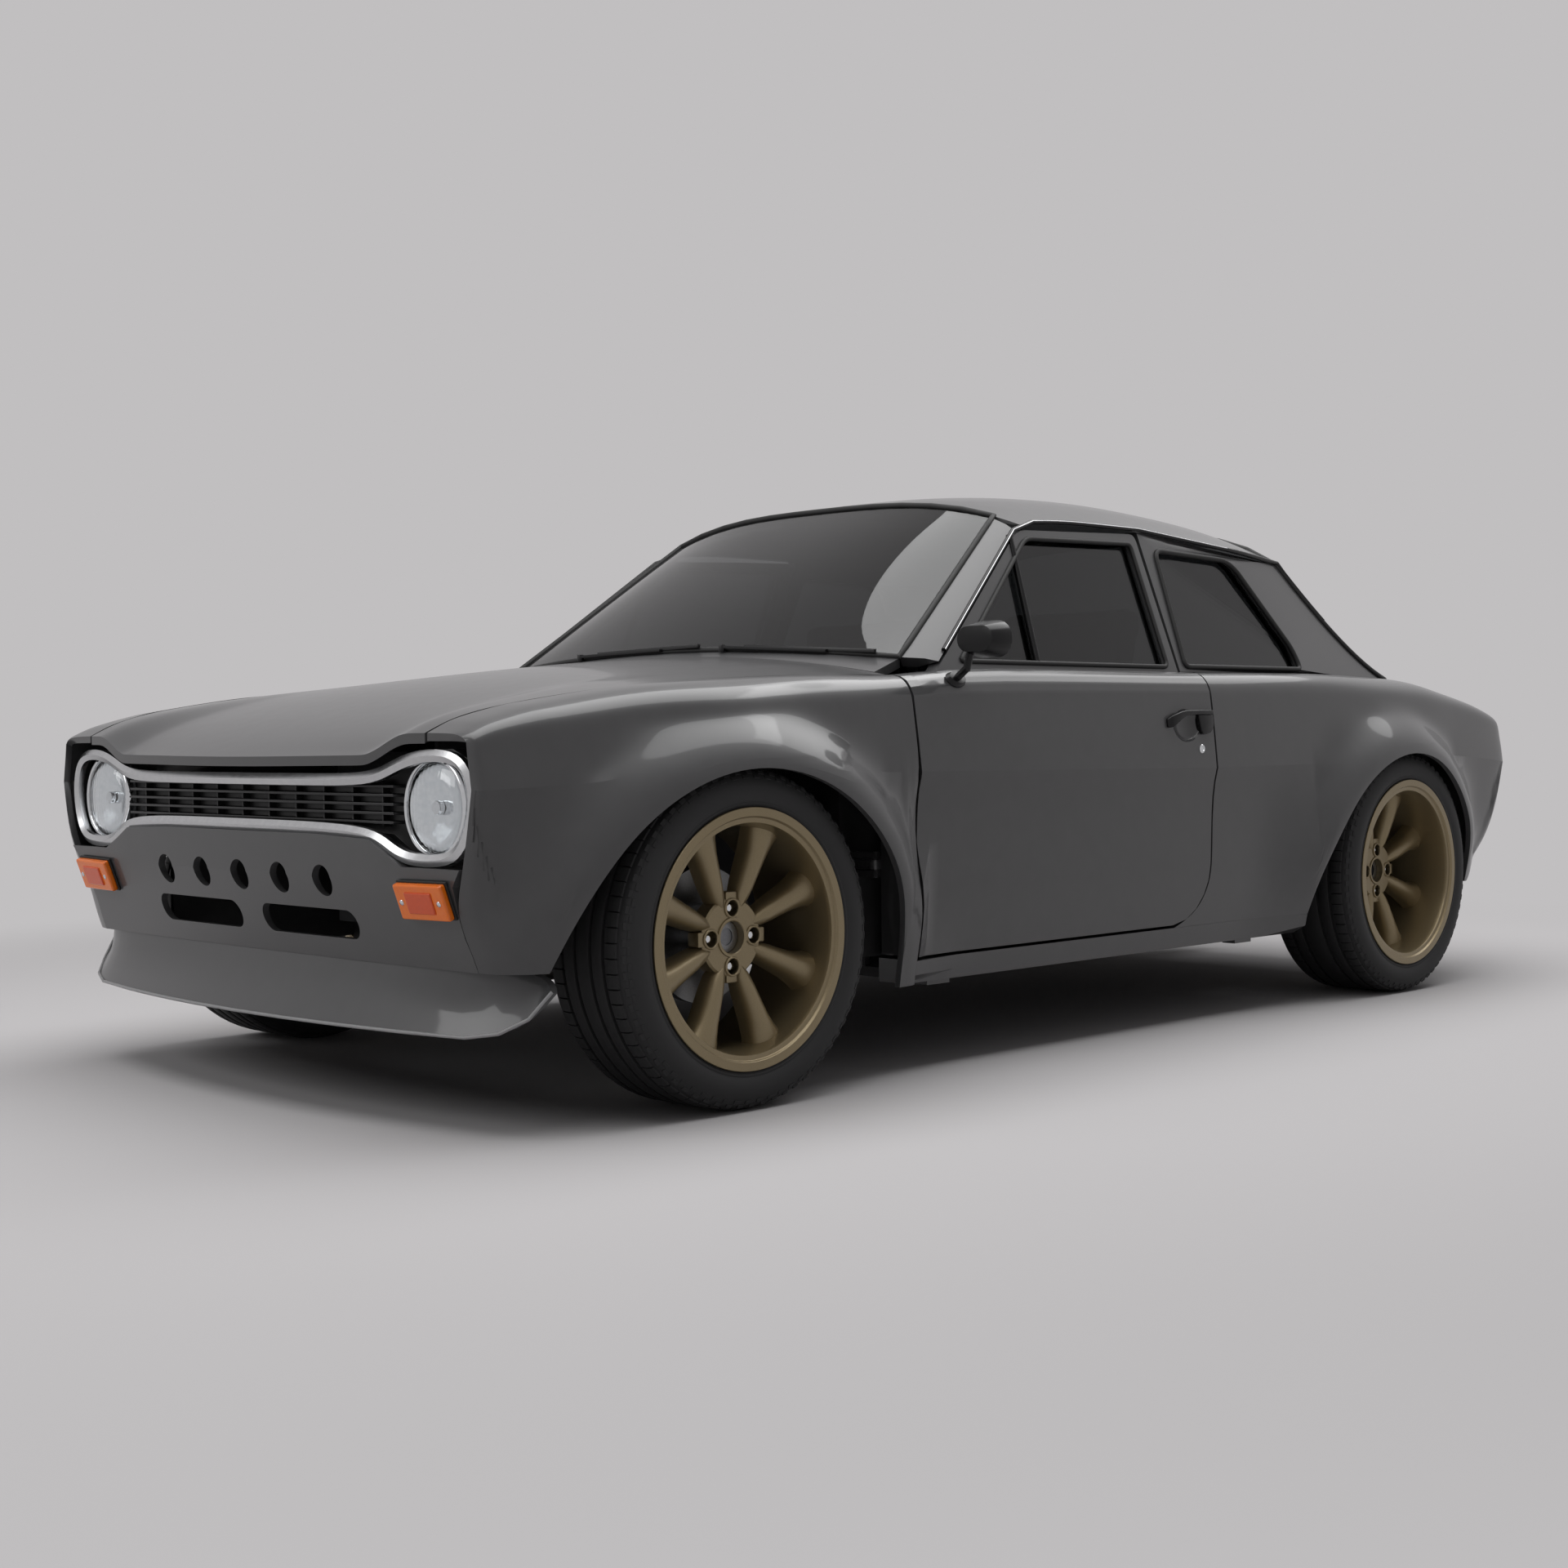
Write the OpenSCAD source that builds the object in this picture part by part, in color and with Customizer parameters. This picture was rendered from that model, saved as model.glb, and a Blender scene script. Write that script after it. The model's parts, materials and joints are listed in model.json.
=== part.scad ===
// Two-door saloon car with bubble arches, dog-bone grille and eight-spoke wheels.
// Millimetres, +X forward, +Y left, +Z up, origin on the ground under the middle of the car.

/* [Running gear] */
// Distance between the axles
wheelbase = 2400; // [2380:5:2420]
// Middle of the wheelbase ahead of the origin
mid_ahead = 95; // [85:1:105]
// Rolling radius of the tyres, also the height of the wheel centres
tyre_radius = 316; // [312:1:320]
// Radius of the rim lip
rim_radius = 236; // [232:1:240]
// Width of a front tyre
tyre_width_front = 226; // [216:1:228]
// Width of a rear tyre
tyre_width_rear = 244; // [236:1:248]
// Distance of the outer rim lip from the middle of the car, front
lip_y_front = 811; // [806:1:814]
// Distance of the outer rim lip from the middle of the car, rear
lip_y_rear = 813; // [808:1:816]
// Depth of the hub face behind the lip, front
dish_front = 58; // [54:1:64]
// Depth of the hub face behind the lip, rear
dish_rear = 98; // [92:1:104]
// Number of spokes in a wheel
spokes = 8; // [6:1:10]
// Number of wheel nuts
nuts = 4; // [4:1:5]
// Radius of a stub axle
spindle_r = 16; // [14:0.5:18]
// Running clearance on radius at axles and pins
run_gap = 0.1; // [0.05:0.01:0.2]
// Clearance between a strut leg and the tyre
strut_gap = 15; // [13:1:20]
// Radius of a strut leg
strut_r = 24; // [20:0.5:24]

/* [Body] */
// Half width at the waist crease
half_width = 785; // [779:1:790]
// Height of the underside of the sills
sill_z = 185; // [178:1:190]
// Height of the belt at the foot of the windows
belt_z = 828; // [822:1:834]
// Inward lean of the side windows
lean = 0.381; // [0.36:0.005:0.4]
// Height of the roof above its table
roof_lift = 0; // [-10:1:10]
// Outward reach of the bubble arches
flare_out = 68; // [62:1:72]
// Width of the band over which an arch swells
flare_band = 118; // [105:1:130]
// Drop of the arch centres under the wheel centres
arch_drop = 124; // [116:1:130]
// Thickness of the outer panels
skin = 14; // [12:0.5:15.5]
// Gap around doors and lids
shut_gap = 6.5; // [6:0.1:7.5]
// Seam between fixed panels
seam = 0.4; // [0.3:0.05:0.6]
// Depth of a door from the waist crease to its inner face
door_deep = 113; // [109:1:121]
// Height of the lower edge of the doors
door_low = 240; // [236:1:246]
// Radius of a lower rear door corner
door_round = 130; // [110:1:140]
// Thickness of the glass
glass = 6; // [4:0.5:7]

/* [Lamps] */
// Radius of a headlamp
lamp_r = 92; // [88:1:95]
// Distance of a headlamp from the middle of the car
lamp_y = 582; // [578:1:590]
// Height of the headlamps
lamp_z = 568; // [564:1:572]

/* [Hidden] */
$fn = 48;
FX = wheelbase / 2 + mid_ahead;
RX = FX - wheelbase;
W = half_width;
WZ = tyre_radius;
DOOR_F = FX - 498;
DOOR_IN = W - door_deep;
DOOR_R = RX + 857;
STEER_Y = lip_y_front - tyre_width_front + 6 - strut_gap - strut_r;
AF = [FX, WZ - arch_drop, WZ + arch_drop];
AR = [RX + 30, WZ - arch_drop + 12, WZ + arch_drop - 14];

paint = [0.27, 0.27, 0.28];
black = [0.06, 0.06, 0.06];
silver = [0.75, 0.75, 0.76];
steel = [0.45, 0.45, 0.47];
bronze = [0.72, 0.6, 0.4];
clear = [0.2, 0.22, 0.24];
trim = [0.13, 0.12, 0.12];

// Side sections of the body, from nose to tail
//   x, y and z at the foot, y and z at the crease, y and z at the shoulder, y and z at the top, squareness
SECTIONS = [
    [FX + 575, W - 100, 285, W - 47, 600, W - 57, 656, W - 185, 694, 0.45],
    [FX + 500, W - 85, 285, W - 37, 602, W - 49, 668, W - 178, 728, 0.55],
    [FX + 405, W - 70, 275, W - 28, 606, W - 40, 686, W - 159, 749, 0.7],
    [FX + 135, W - 50, 240, W - 10, 611, W - 27, 718, W - 130, 785, 0.85],
    [FX - 273, W - 43, sill_z, W, 614, W - 17, 738, W - 95, 806, 1],
    [FX - 495, W - 43, sill_z, W, 613, W - 18, 745, W - 74, 808, 1],
    [FX - 720, W - 43, sill_z, W, 611, W - 17, 752, W - 70, belt_z - 4, 1],
    [RX + 948, W - 43, sill_z, W, 604, W - 17, 760, W - 70, belt_z, 1],
    [RX + 325, W - 43, sill_z, W, 606, W - 16, 766, W - 71, belt_z + 4, 1],
    [RX, W - 45, sill_z, W - 3, 612, W - 23, 764, W - 116, belt_z + 2, 1],
    [RX - 221, W - 50, 230, W - 18, 617, W - 36, 752, W - 168, belt_z - 2, 0.9],
    [RX - 400, W - 60, 264, W - 32, 614, W - 50, 728, W - 179, 800, 0.8],
    [RX - 639, W - 80, 264, W - 50, 600, W - 65, 690, W - 185, 757, 0.7],
    [RX - 755, W - 90, 264, W - 62, 588, W - 76, 660, W - 190, 716, 0.6]];

// Rear end of the quarters in side view
//   z, x
TAIL = [[268, RX - 468], [350, RX - 600], [436, RX - 689], [588, RX - 738], [700, RX - 746], [770, RX - 736]];

// Middle line of the roof
//   x, z
CROWN = [[RX + 1375, 1228], [RX + 1300, 1247], [RX + 1200, 1262], [RX + 1039, 1276], [RX + 850, 1281],
    [RX + 710, 1279], [RX + 500, 1266], [RX + 350, 1251], [RX + 215, 1226]];

// Middle line of the bonnet
//   x, z
RIDGE = [[FX + 605, 696], [FX + 534, 722], [FX + 453, 745], [FX + 298, 777], [FX + 134, 803], [FX - 273, 850],
    [FX - 500, 868]];

function lerp(a, b, t) = a + (b - a) * t;
function unit(t) = min(1, max(0, t));
function ease(t) = let (c = unit(t)) c * c * (3 - 2 * c);
function spot(tab, x, up, i = 0) =
    i >= len(tab) - 2 || (up ? x <= tab[i + 1][0] : x >= tab[i + 1][0]) ? i : spot(tab, x, up, i + 1);
function rise(tab, col, i) =
    let (a = max(0, i - 1), b = min(len(tab) - 1, i + 1))
    (tab[b][col] - tab[a][col]) / (tab[b][0] - tab[a][0]);
function look(tab, x, col) =
    let (i = spot(tab, x, tab[1][0] > tab[0][0]), h = tab[i + 1][0] - tab[i][0], t = unit((x - tab[i][0]) / h),
        a = tab[i][col], b = tab[i + 1][col], ma = rise(tab, col, i) * h, mb = rise(tab, col, i + 1) * h)
    a + t * (ma + t * (3 * (b - a) - 2 * ma - mb + t * (2 * (a - b) + ma + mb)));

// Skin of the lower body
function nose_x(z) = FX + 568 - 0.36 * max(0, 451 - z);
function nose_r(z) = lerp(60, skin + 2, ease((z - 430) / 70));
function tail_x(z) = look(TAIL, z, 1);
function round_off(d, r) = d >= r ? 0 : r - sqrt(max(0, r * r - pow(r - d, 2)));
function side_y(x, z) =
    let (yl = look(SECTIONS, x, 1), zl = look(SECTIONS, x, 2), yc = look(SECTIONS, x, 3),
        zc = look(SECTIONS, x, 4), ys = look(SECTIONS, x, 5), zs = look(SECTIONS, x, 6))
    let (a = (zc - z) / (zc - zl), b = (z - zc) / (zs - zc))
    z < zc ? yc - (yc - yl) * a * (0.45 + 0.55 * a) : yc - (yc - ys) * b * (0.8 + 0.2 * b);
function swell(x, z, arch) =
    let (p = (norm([x - arch[0], z - arch[1]]) - arch[2]) / flare_band)
    p >= 1 ? 0 : flare_out * lerp(0.45, 1, ease((z - 200) / 260)) * pow(1 - pow(max(0, p), 2), 1.25);
function skin_y(x, z) =
    side_y(x, z) + swell(x, z, AF) + swell(x, z, AR)
    - round_off(nose_x(z) - x, nose_r(z)) - round_off(x - tail_x(z), 60);
// Inward direction of a skin point in plan, turned at the nose and the tail
function inward(x, z) =
    let (rn = nose_r(z), f = unit((rn - nose_x(z) + x) / rn), b = unit((60 - x + tail_x(z)) / 60), s = f - b)
    [-s, -sqrt(1 - s * s), 0];

// Rows of a panel column, as parts of the way from its foot to the crease
ROWS = [0, 0.03, 0.09, 0.18, 0.27, 0.38, 0.62, 1];
ROLLS = 5;
function row_z(j, z0, zc, zs) =
    let (zk = lerp(z0, zs, min(0.85, max(0.55, (zc - z0) / (zs - z0)))))
    j < 8 ? lerp(z0, zk, ROWS[j]) : lerp(zk, zs, (j - 7) / 2);
function roll(x, q) =
    let (zs = look(SECTIONS, x, 6), ys = skin_y(x, zs), yt = look(SECTIONS, x, 7), zt = look(SECTIONS, x, 8),
        e = look(SECTIONS, x, 9))
    [x, yt + (ys - yt) * pow(cos(90 * q), e), zs + (zt - zs) * pow(sin(90 * q), e)];

// Leaning side of the cabin
function lean_y(x, z) =
    let (r = max(0, RX + 510 - x)) W - 70 - lean * (z - belt_z) - 0.15 * r * r / (r + 60);
function cant_z(x) =
    x > RX + 897 ? 1168 - 12 * pow(max(0, x - RX - 1100) / 245, 2) : lerp(1168, 1120, (RX + 897 - x) / 635);

// Closed solids from lofted sections
function volume(p, f) = len(f) == 0 ? 0 : let (s = [for (t = f, k = [1:len(t) - 2])
    cross(p[t[0]], p[t[k]]) * p[t[k + 1]]]) [for (i = 0, v = 0; i <= len(s); v = v + (i < len(s) ? s[i] : 0),
    i = i + 1) v][len(s)];
function turned(f) = [for (t = f) [for (i = [len(t) - 1:-1:0]) t[i]]];
module loft(rings, closed = false) {
    n = len(rings);
    k = len(rings[0]);
    points = [for (r = rings) each r];
    walls = [for (i = [0:closed ? n - 1 : n - 2], j = [0:k - 1])
        let (m = (i + 1) % n, l = (j + 1) % k) [i * k + j, i * k + l, m * k + l, m * k + j]];
    caps = closed ? [] : [for (j = [0:k / 2 - 2]) each [
        [k - 1 - j, k - 2 - j, j + 1, j],
        [for (v = [j, j + 1, k - 2 - j, k - 1 - j]) (n - 1) * k + v]]];
    faces = concat(walls, caps);
    polyhedron(points, volume(points, faces) > 0 ? turned(faces) : faces);
}
function back(list) = [for (i = [len(list) - 1:-1:0]) list[i]];
// Ring of a panel column from its outer and inner points
function column(outer, inner) = concat(outer, back(inner));
// Corners rounded with a curve of four points
function rounded(corners, radii) = let (n = len(corners)) [for (i = [0:n - 1]) let (c = corners[i],
    a = corners[(i + n - 1) % n] - c, b = corners[(i + 1) % n] - c, r = radii[i],
    p = c + a / norm(a) * r, q = c + b / norm(b) * r)
    each [for (t = [0, 1 / 3, 2 / 3, 1]) p * (1 - t) * (1 - t) + c * 2 * t * (1 - t) + q * t * t]];
// Flat frame in side view between two loops, on the leaning side
module side_frame(outer, inner, thick, steps) {
    loft([for (i = [0:len(outer) - 1]) column(
        [for (s = [0:steps]) let (p = lerp(outer[i], inner[i], s / steps)) [p[0], lean_y(p[0], p[1]), p[1]]],
        [for (s = [0:steps]) let (p = lerp(outer[i], inner[i], s / steps))
            [p[0], lean_y(p[0], p[1]) - thick, p[1]]])], true);
}
module side_pane(loop, set_in) {
    n = len(loop);
    half = n / 2;
    loft([for (i = [0:half - 1]) let (a = loop[i], b = loop[n - 1 - i])
        [[a[0], lean_y(a[0], a[1]) - set_in, a[1]], [b[0], lean_y(b[0], b[1]) - set_in, b[1]],
        [b[0], lean_y(b[0], b[1]) - set_in - glass, b[1]], [a[0], lean_y(a[0], a[1]) - set_in - glass, a[1]]]]);
}
module right() {
    mirror([0, 1, 0]) children();
}

// A panel column of the lower body at places given by a function of height
function body_column(xs, z0, thick) =
    let (zc = look(SECTIONS, xs[8], 4), zs = look(SECTIONS, xs[10], 6),
        outer = concat([for (j = [0:9]) let (z = row_z(j, z0, zc, zs)) [xs[j], skin_y(xs[j], z), z]],
            [for (i = [1:ROLLS]) roll(xs[10], i / ROLLS)]),
        inner = concat([for (j = [0:9]) let (z = row_z(j, z0, zc, zs))
            [xs[j], skin_y(xs[j], z), z] + inward(xs[j], z) * thick],
            [for (i = [1:ROLLS]) let (q = 90 * i / ROLLS, zr = zs) roll(xs[10], i / ROLLS)
                + inward(xs[10], zr) * thick * cos(q) - [0, 0, thick * sin(q)]]))
    column(outer, inner);
function flat_xs(x) = [for (j = [0:10]) x];

NOSE_D = [0, 6, 14, 30, 56];
module front_wing() {
    z_foot = 285;
    a0 = asin((z_foot - AF[1]) / AF[2]);
    a1 = 180 - asin((sill_z - AF[1]) / AF[2]);
    rear = DOOR_F + shut_gap;
    nose = [for (d = NOSE_D) let (zc = look(SECTIONS, nose_x(600) - d, 4), zs = look(SECTIONS, nose_x(600) - d, 6))
        body_column([for (j = [0:10]) nose_x(j < 10 ? row_z(j, z_foot, zc, zs) : 700) - d], z_foot, skin)];
    arch = [for (i = [0:15]) let (a = lerp(a0, a1, i / 15))
        body_column(flat_xs(AF[0] + AF[2] * cos(a)), AF[1] + AF[2] * sin(a), skin)];
    tail = [for (t = [0.5, 1]) body_column(flat_xs(lerp(AF[0] + AF[2] * cos(a1), rear, t)), sill_z, skin)];
    loft(concat(nose, arch, tail));
}

function door_edge(z) =
    let (d = min(door_round, max(0, door_round - (z - door_low)))) DOOR_R + door_round
        - sqrt(door_round * door_round - d * d);
TAIL_D = [56, 30, 14, 6, 0];
module quarter() {
    z_foot = door_low - shut_gap;
    z_tail = 268;
    a0 = asin((z_foot - AR[1]) / AR[2]);
    a1 = 180 - asin((z_tail - AR[1]) / AR[2]);
    xa = AR[0] + AR[2] * cos(a0);
    xb = AR[0] + AR[2] * cos(a1);
    zc = 606;
    zs = 765;
    front = [for (t = [0, 0.3, 0.65]) body_column([for (j = [0:10])
        lerp(door_edge(j < 10 ? row_z(j, z_foot, zc, zs) : 800) - shut_gap, xa, t)], z_foot, skin)];
    arch = [for (i = [0:15]) let (a = lerp(a0, a1, i / 15))
        body_column(flat_xs(AR[0] + AR[2] * cos(a)), AR[1] + AR[2] * sin(a), skin)];
    mids = [for (t = [0.33, 0.66]) body_column([for (j = [0:10])
        lerp(xb, tail_x(j < 10 ? row_z(j, z_tail, 600, 690) : 700) + 62, t)], z_tail, skin)];
    tail = [for (d = TAIL_D) body_column([for (j = [0:10])
        tail_x(j < 10 ? row_z(j, z_tail, 590, 665) : 700) + d], z_tail, skin)];
    loft(concat(front, arch, mids, tail));
}

module sill() {
    x1 = AR[0] + sqrt(AR[2] * AR[2] - pow(door_low - shut_gap - AR[1], 2));
    top = door_low - shut_gap - seam;
    front = DOOR_F + shut_gap - seam;
    loft([for (t = [0:10]) let (x = lerp(front, x1, t / 10))
        [[x, skin_y(x, top), top], [x, skin_y(x, lerp(sill_z, top, 0.4)), lerp(sill_z, top, 0.4)],
        [x, side_y(x, sill_z), sill_z], [x, W - 115, sill_z], [x, W - 115, lerp(sill_z, top, 0.4)],
        [x, W - 115, top]]]);
    for (x = [front - 160, x1 + 160])
        translate([x, W - 100, sill_z - 12]) cube([70, 36, 16]);
}

module door() {
    front = DOOR_F;
    zc = 610;
    zs = 752;
    difference() {
        loft([for (t = [0, 0.04, 0.15, 0.3, 0.5, 0.7, 0.85, 0.96, 1])
            let (xs = [for (j = [0:10]) lerp(front, door_edge(j < 10 ? row_z(j, door_low, zc, zs) : 800), t)],
                ring = body_column(xs, door_low, skin), m = len(ring) / 2)
            column([for (i = [0:m - 1]) ring[i]], [for (i = [0:m - 1]) let (p = ring[i])
                [p[0], min(p[1] - 30, DOOR_IN), p[2]]])]);
        leading_scoop();
    }
    side_frame(door_loop(), door_window(), 30, 1);
    for (z = HINGE_Z)
        door_arm([HINGE_X, HINGE_Y, z]);
}
// Hollow of the door's leading edge, round the hinge line and past the wing's rear edge
module leading_scoop() {
    z_all = concat([door_low - 20], [for (z = [door_low + 30:35:598]) z], [look(SECTIONS, DOOR_F, 4)], [for (z = [640:35:830]) z]);
    translate([HINGE_X, HINGE_Y, 0]) rotate_extrude() polygon(concat([[0, z_all[0]]], [for (z = z_all)
        [norm([HINGE_X - DOOR_F - shut_gap, skin_y(DOOR_F + shut_gap, z) - HINGE_Y]) + 5.5, z]],
        [[0, z_all[len(z_all) - 1]]]));
}
HINGE_X = DOOR_F + 92;
HINGE_Y = W - 45;
HINGE_Z = [430, 690];
HINGE_R = 7;
// Goose-necked hinge arm of a door, with an eye round the pin
module door_arm(p) {
    translate(p) difference() {
        union() {
            cylinder(h = 18, r = 12, center = true);
            linear_extrude(18, center = true)
                polygon([[8, 0], [-8, 0], [-20, -70], [-94, -70], [-94, -62], [-112, -62], [-112, -84], [-6, -84]]);
        }
        cylinder(h = 30, r = HINGE_R + run_gap, center = true);
    }
}
DOOR_TOP = [RX + 1360, 1142];
DOOR_FOOT = [FX - 612, belt_z - 16];
function door_front_x(z) = lerp(DOOR_FOOT[0], DOOR_TOP[0], (z - DOOR_FOOT[1]) / (DOOR_TOP[1] - DOOR_FOOT[1]));
function door_loop() = rounded([DOOR_FOOT, DOOR_TOP, [RX + 909, 1160], [RX + 912, belt_z - 16]], [4, 30, 20, 4]);
function door_window() = rounded([[FX - 705, belt_z + 12], [RX + 1342, 1124], [RX + 940, 1134],
    [RX + 948, belt_z + 12]], [12, 24, 16, 16]);
function quarter_window() = rounded([[RX + 876, belt_z + 14], [RX + 848, 1124], [RX + 535, 1114],
    [RX + 342, belt_z + 64], [RX + 334, belt_z + 16]], [16, 26, 40, 30, 18]);
function rear_edge(t) = let (a = [RX + 262, 1120], b = [RX - 6, 884], c = [RX - 221, belt_z - 1])
    a * (1 - t) * (1 - t) + b * 2 * t * (1 - t) + c * t * t;
module window_side() {
    a = [RX + 902, belt_z + 1];
    b = [RX + 896, 1165.5];
    outer = concat([for (t = [0, 0.01, 0.02, 0.03]) lerp(a, b, t)], [for (t = [0.97, 0.98, 0.99, 1]) lerp(a, b, t)],
        [for (t = [0.93, 0.95, 0.98, 1]) lerp(b, rear_edge(0) - [0, 1.2], t)], [for (t = [0.25, 0.42, 0.58, 0.75]) rear_edge(t)],
        [for (t = [0.88, 1]) rear_edge(t)], [for (t = [0.3, 0.5]) lerp(rear_edge(1), [RX + 325, belt_z + 5], t)]);
    side_frame(outer, quarter_window(), 34, 3);
    pillar();
}
module pillar() {
    // screen pillar from its foot to the roof
    normal = [0.567, 0.084, 0.819];
    loft([for (i = [0:6]) let (v = i / 6 * 0.985, z = lerp(838, 1146, v), x = door_front_x(z) + shut_gap * 1.64,
        d = [x, lean_y(x, z), z], s = screen_low(1) * (1 - v) + screen_top(1) * v, m = (d * 2 + s) / 3 + normal * 4)
        [d, m, s, s - normal * 24, (d * 2 + s) / 3 - [6, 24, 14], d - [0, 30, 4]]]);
}
function screen_low(v) = [lerp(FX - 545, FX - 593, v * v), 640 * v, lerp(880, 848, v * v)];
function screen_top(v) = roof_point(0, 0.885 * v);
function screen_point(v, t) = screen_low(v) * (1 - t) + screen_top(v) * t
    + [0.567, 0.084 * v, 0.819] * 16 * 4 * t * (1 - t) * (1 - pow(abs(v), 4));
module windscreen() {
    normal = [0.57, 0, 0.82];
    ends = [0.006, 0.991];
    loft([for (v = [-1:0.125:1]) column(
        [for (t = [0:0.125:1]) screen_point(v * 0.9988, lerp(ends[0], ends[1], t))],
        [for (t = [0:0.125:1]) screen_point(v * 0.9988, lerp(ends[0], ends[1], t)) - normal * glass])]);
}

function roof_end(u) = let (x = lerp(RX + 1348, RX + 262, u)) [x, lean_y(x, cant_z(x)), cant_z(x)];
function roof_mid(u) = let (x = lerp(RX + 1375, RX + 215, u)) [x, 0, look(CROWN, x, 1) + roof_lift];
function roof_point(u, v) = let (m = roof_mid(u), e = roof_end(u))
    [lerp(m[0], e[0], v * v), e[1] * v, m[2] - (m[2] - e[2]) * pow(abs(v), 3.2)];
module roof() {
    rows = [-1, -0.985, -0.95, -0.885, -0.8, -0.68, -0.5, -0.25, 0, 0.25, 0.5, 0.68, 0.8, 0.885, 0.95, 0.985, 1];
    loft([for (u = [0, 0.06, 0.14, 0.26, 0.415, 0.53, 0.66, 0.78, 0.88, 0.95, 1]) column(
        [for (v = rows) roof_point(u, v)],
        [for (v = rows) let (m = roof_mid(u), e = roof_end(u),
            s = 3.2 * (m[2] - e[2]) / e[1] * pow(abs(v), 2.2) * sign(v),
            n = abs(v) == 1 ? [0, sign(v), 0] : [0, s, 1] / norm([s, 1]))
            roof_point(u, v) - n * lerp(22, 5, ease((abs(v) - 0.8) / 0.19))])]);
}

function rear_low(v) = let (e = rear_edge(1)) [lerp(RX - 292, e[0], v * v), lean_y(e[0], e[1]) * v,
    lerp(846, e[1], v * v)];
function rear_side(t) = let (e = rear_edge(t)) [e[0], lean_y(e[0], e[1]), e[1]];
function rear_point(v, t) = let (m = lerp(roof_point(1, 0), rear_low(0), t), s = rear_side(t), r = roof_point(1, v),
    l = rear_low(v), a = 1 - pow(abs(v), 2.4), base = lerp(r, l, t),
    ends = lerp(roof_point(1, sign(v)), rear_low(sign(v)), t),
    fix = v == 0 ? [0, 0, 0] : ([s[0], s[1] * sign(v), s[2]] - ends) * pow(abs(v), 3))
    base + fix + [-0.5, 0, 0.86] * 14 * 4 * t * (1 - t) * a;
module rear_window() {
    normal = [-0.5, 0, 0.86];
    ends = [0.0045, 0.9993];
    loft([for (v = [-1:0.125:1]) let (k = pow(abs(v), 6), n = normal * (1 - k) + [0, sign(v), 0] * k) column(
        [for (t = [0:0.125:1]) rear_point(v * 0.9985, lerp(ends[0], ends[1], t)) + normal * 2.2],
        [for (t = [0:0.125:1]) rear_point(v * 0.9985, lerp(ends[0], ends[1], t)) + normal * 2.2 - n * glass])]);
}

// Lids
function bonnet_half(x) = look(SECTIONS, x, 7) - shut_gap;
function bonnet_z(x, y) = let (h = look(SECTIONS, x, 7), v = unit(abs(y) / h), d = FX + 600 - x,
    dip = 42 * ease((545 - abs(y)) / 115) * pow(1 - unit(d / 640), 2))
    lerp(look(RIDGE, x, 1), look(SECTIONS, x, 8), pow(v, 2)) - dip;
function lip_x(y) = FX + 568 + 32 * (1 - pow(unit(abs(y) / 600), 2));
BONNET_R = FX - 482;
BONNET_PIN = [BONNET_R - 70, 300, bonnet_z(BONNET_R, 300) - 34];
LID_THICK = 18;
module bonnet() {
    rows = [-1, -0.95, -0.91, -0.86, -0.8, -0.74, -0.7, -0.5, -0.25, 0, 0.25, 0.5, 0.7, 0.74, 0.8, 0.86, 0.91, 0.95, 1];
    loft([for (u = [0, 0.02, 0.06, 0.13, 0.22, 0.34, 0.48, 0.64, 0.82, 0.985, 1]) let (h = bonnet_half(lerp(FX + 568,
        BONNET_R, u)), thick = u == 1 ? 4 : LID_THICK)
        column([for (v = rows) let (y = v * h, x = lerp(lip_x(y), BONNET_R, u)) [x, y, bonnet_z(x, y)]],
            [for (v = rows) let (y = v * h, x = lerp(lip_x(y), BONNET_R, u)) [x, y, bonnet_z(x, y) - thick]])]);
    for (s = [-1, 1])
        lid_arm([BONNET_PIN[0], s * BONNET_PIN[1], BONNET_PIN[2]], 1, 70, 34, 54);
}
// Goose-necked hinge arm of a lid, with an eye round the pin; dir points from the pin to the lid,
// reach and high are the lid's edge from the pin, and neck is how far the arm dips under the fixed panel
module lid_arm(p, dir, reach, high, neck) {
    top = high - LID_THICK + 2;
    translate(p) rotate([90, 0, 0]) difference() {
        union() {
            cylinder(h = 20, r = 12, center = true);
            linear_extrude(20, center = true) polygon([for (q = [[-9, 2], [9, 2], [15, -neck], [reach + 2, -neck],
                [reach + 24, top], [reach + 44, top], [reach + 22, -neck - 18], [4, -neck - 18]]) [q[0] * dir, q[1]]]);
        }
        cylinder(h = 30, r = 6 + run_gap, center = true);
    }
}
// Pin of a lid hinge between two cheeks that hang from the panel above
module lid_pin(p, reach) {
    translate(p) rotate([90, 0, 0]) cylinder(h = 44, r = 6, center = true);
    for (s = [-1, 1])
        translate(p + [-12, s * 17 - 4, -12]) cube([24, 8, reach + 12]);
}
BOOT_F = RX - 345;
BOOT_PIN = [BOOT_F + 95, 560, deck_z(BOOT_F, 560) - 32];
function deck_half(x) = look(SECTIONS, x, 7) - shut_gap;
function deck_z(x, y) = let (h = look(SECTIONS, x, 7), v = unit(abs(y) / h))
    look(SECTIONS, x, 8) + 22 * (1 - v * v);
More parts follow.
